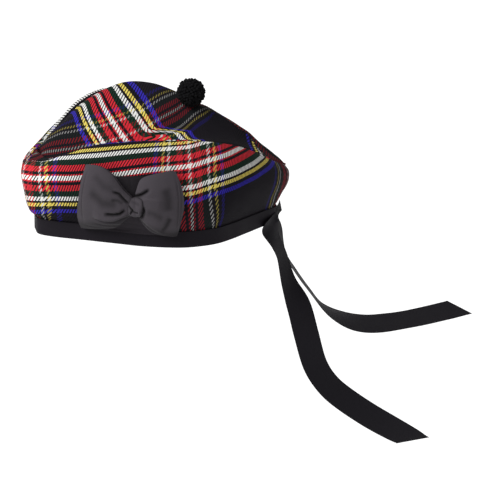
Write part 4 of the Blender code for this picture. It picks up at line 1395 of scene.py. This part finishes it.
def build_tail(tail, material):
    """A ribbon tail with a slanted end, hanging from the back of the band."""
    stations, length = [], 0.0
    for i in range(TAIL_STEPS + 1):
        run = i / TAIL_STEPS
        middle, width = tail_frame(tail, run)
        after = tail_frame(tail, min(run + RUN_STEP, 1))[0]
        before = tail_frame(tail, max(run - RUN_STEP, 0))[0]
        along = (after - before).normalized()
        width = (width - along * width.dot(along)).normalized()
        longer = TAIL_WIDTH / 2 * tail.slant * (max(run - SLANT_START, 0) / (1 - SLANT_START))
        if stations:
            length += (middle - stations[-1][0]).length
        stations.append((middle, width, along, longer, length))

    def spot(i, j):
        middle, width, along, longer, length = stations[i]
        share = 2 * j / TAIL_COLUMNS - 1
        point = middle + width * (TAIL_WIDTH / 2 * share) + along * longer * share
        return Spot(point, (length + longer * share, TAIL_WIDTH / 2 * share))

    piece = shaped_grid(tail.name, TAIL_STEPS, TAIL_COLUMNS, spot)
    thicken(piece, TAIL_WALL, side=0.0)
    finish_piece(piece, material, tail.name)


def build_tails(material):
    on_band = plan_point(LOWER_TAIL_TURN, -1, -TAIL_SEAT, BAND_HEIGHT / 2)
    behind = plan_point(1, 1, -TAIL_SEAT - UPPER_TAIL_STAND, BAND_HEIGHT / 2)
    behind.y = UPPER_TAIL_STEP
    build_tail(Tail("tail_lower", LOWER_TAIL, on_band, LOWER_TAIL_REACH, LOWER_TAIL_SIDE,
                    LOWER_TAIL_DROP, TAIL_SLANT, (TAIL_WIDTH, 0.285)), material)
    build_tail(Tail("tail_upper", UPPER_TAIL, behind, UPPER_TAIL_REACH, UPPER_TAIL_SIDE,
                    UPPER_TAIL_DROP, -TAIL_SLANT, (TAIL_WIDTH, 0.245)), material)


def build_tuft():
    """One cut end of yarn, a little full below its rounded end."""
    bpy.ops.mesh.primitive_cylinder_add(
        vertices=7, radius=TUFT_RADIUS, depth=TUFT_LENGTH, end_fill_type="TRIFAN", location=(0, 0, 0)
    )
    tuft = bpy.context.object
    tuft.data.uv_layers[0].name = "cloth"
    bpy.ops.object.mode_set(mode="EDIT")
    bpy.ops.mesh.select_all(action="SELECT")
    bpy.ops.mesh.bisect(plane_co=(0, 0, TUFT_LENGTH * TUFT_FULL_AT), plane_no=(0, 0, 1))
    bpy.ops.object.mode_set(mode="OBJECT")
    # The ring at the outer end is drawn in and lies back, and the one below it is full
    for vertex in tuft.data.vertices:
        if vertex.co.xy.length <= TUFT_RADIUS / 2 or vertex.co.z <= TUFT_LENGTH / 4:
            continue
        at_end = vertex.co.z > TUFT_LENGTH * 0.45
        vertex.co.xy *= TUFT_END_WIDTH if at_end else TUFT_FULLNESS
        vertex.co.z -= TUFT_RADIUS * 0.35 if at_end else 0
    return tuft


def build_toorie(material):
    """The pompom: many cut ends of yarn round a core, flat where it is sewn on."""
    step = 0.01
    foot = top_point(TOORIE_TURN, TOORIE_ACROSS)
    along = top_point(TOORIE_TURN + step, TOORIE_ACROSS) - top_point(TOORIE_TURN - step, TOORIE_ACROSS)
    across = top_point(TOORIE_TURN, TOORIE_ACROSS + step) - top_point(TOORIE_TURN, TOORIE_ACROSS - step)
    normal = along.cross(across).normalized()
    if normal.z < 0:
        normal.negate()
    centre = foot + normal * (GAP + TOORIE_RADIUS - TOORIE_SQUASH)
    bpy.ops.object.select_all(action="DESELECT")
    bpy.ops.mesh.primitive_uv_sphere_add(
        segments=24, ring_count=14, radius=TOORIE_RADIUS - TOORIE_CORE_INSET, location=centre
    )
    core = bpy.context.object
    bpy.ops.object.transform_apply(location=True, rotation=False, scale=False)
    core.name = "toorie"
    core.data.uv_layers[0].name = "cloth"
    tuft = build_tuft()
    rng = random.Random(7)
    golden = math.pi * (3 - math.sqrt(5))
    copies = []
    for k in range(TUFTS):
        height = 1 - (2 * k + 1) / TUFTS
        ring = math.sqrt(1 - height * height)
        way = Vector((ring * math.cos(golden * k), ring * math.sin(golden * k), height))
        way += Vector([rng.uniform(-TUFT_SCATTER, TUFT_SCATTER) for _ in range(3)])
        way.normalize()
        if way.dot(normal) < -TOORIE_BARE:
            continue
        reach = TOORIE_RADIUS - TUFT_LENGTH / 2 + rng.uniform(-TUFT_SHORTER, TUFT_LONGER)
        turned = way.to_track_quat("Z", "Y").to_matrix().to_4x4()
        spin = Matrix.Rotation(rng.uniform(0, math.tau), 4, "Z")
        copy = tuft.copy()
        copy.data = tuft.data.copy()
        copy.data.transform(Matrix.Translation(centre + way * reach) @ turned @ spin)
        bpy.context.collection.objects.link(copy)
        copies.append(copy)
    bpy.data.objects.remove(tuft, do_unlink=True)
    select_only(core)
    for copy in copies:
        copy.select_set(True)
    bpy.ops.object.join()
    seat = foot + normal * GAP
    for vertex in core.data.vertices:
        below = (vertex.co - seat).dot(normal)
        if below < 0:
            vertex.co -= normal * below
    finish_piece(core, material, "toorie")


# Stage, lights and camera
FLOOR_HEIGHT = cad_box[0].z - 0.600
VIEW_AZIMUTH = math.radians(-12.96)
VIEW_ELEVATION = math.radians(15.64)
VIEW_ROLL = math.radians(0.73)
VIEW_DISTANCE = 1.690
VIEW_TARGET = Vector((0.0825, -0.0140, -0.0235))
VIEW_LENS = 134.3
WORLD_LIGHT = 0.43
KEY_LIGHT = 4.1
KEY_FROM = (-1.0, -0.30, 0.92)
KEY_SOFTNESS = math.radians(40)
PAPER_WHITE = (0.93, 0.93, 0.93, 1)


def build_camera():
    data = bpy.data.cameras.new("camera")
    data.sensor_width = 36
    data.lens = VIEW_LENS
    camera = bpy.data.objects.new("camera", data)
    bpy.context.collection.objects.link(camera)
    level = math.cos(VIEW_ELEVATION)
    toward = Vector((
        math.sin(VIEW_AZIMUTH) * level, -math.cos(VIEW_AZIMUTH) * level, math.sin(VIEW_ELEVATION)
    ))
    turned = toward.to_track_quat("Z", "Y").to_matrix().to_4x4()
    place = Matrix.Translation(VIEW_TARGET + toward * VIEW_DISTANCE)
    camera.matrix_world = place @ turned @ Matrix.Rotation(VIEW_ROLL, 4, "Z")
    bpy.context.scene.camera = camera


def build_stage():
    """A wide floor of white paper, white light from all round and one soft light."""
    bpy.ops.object.select_all(action="DESELECT")
    bpy.ops.mesh.primitive_plane_add(size=40, location=(0, 0, FLOOR_HEIGHT))
    floor = bpy.context.object
    bpy.ops.object.transform_apply(location=True, rotation=False, scale=False)
    floor.name = "floor"
    paper = Finish("paper", 0.9)
    paper.set(Base_Color=PAPER_WHITE)
    floor.data.materials.append(paper.material)
    world = bpy.data.worlds.new("studio")
    bpy.context.scene.world = world
    world.use_nodes = True
    background = world.node_tree.nodes["Background"]
    background.inputs["Color"].default_value = (1, 1, 1, 1)
    background.inputs["Strength"].default_value = WORLD_LIGHT
    key = bpy.data.lights.new("key", "SUN")
    key.energy = KEY_LIGHT
    key.angle = KEY_SOFTNESS
    light = bpy.data.objects.new("key", key)
    bpy.context.collection.objects.link(light)
    light.rotation_euler = Vector(KEY_FROM).to_track_quat("Z", "Y").to_euler()
    bpy.context.scene.view_settings.view_transform = "Standard"


build_camera()
panel_tartan = tartan_cloth(
    "panel_tartan", wide=0.0029, tall=0.0044, weft_share=0.58, crossing_light=0.38
)
top_tartan = tartan_cloth(
    "top_tartan", wide=0.0036, tall=0.0031, weft_share=0.63, crossing_light=0.28
)
band_ribbon = ribbon(
    "binding_ribbon", BINDING_BLACK, rib=0.0011, roughness=0.70, gloss=0.10, rib_depth=0.00012
)
tail_ribbon = ribbon(
    "tail_ribbon", TAIL_BLACK, rib=0.0011, roughness=0.68, gloss=0.10, rib_depth=0.00012
)
bow_ribbon = ribbon(
    "bow_ribbon", BOW_BLACK, rib=0.0008, roughness=0.80, gloss=0.12, rib_depth=0.00010, sheen=0.05
)
# The bow's ribbon behind the loops, with a darker colour for painted shade
base_ribbon = ribbon(
    "bow_base_ribbon", BOW_BASE_PAINTED_SHADE_BLACK, rib=0.0008, roughness=0.80, gloss=0.12, rib_depth=0.00010
)
yarn = pompom_yarn()
build_panel("side_panel_left", -1, panel_tartan)
build_panel("side_panel_right", 1, panel_tartan)
build_top(top_tartan)
build_headband(band_ribbon)
build_bow_base(base_ribbon)
for loop in LOOPS:
    build_loop(loop, bow_ribbon)
build_bow_knot(bow_ribbon)
build_toorie(yarn)
build_tails(tail_ribbon)
build_stage()
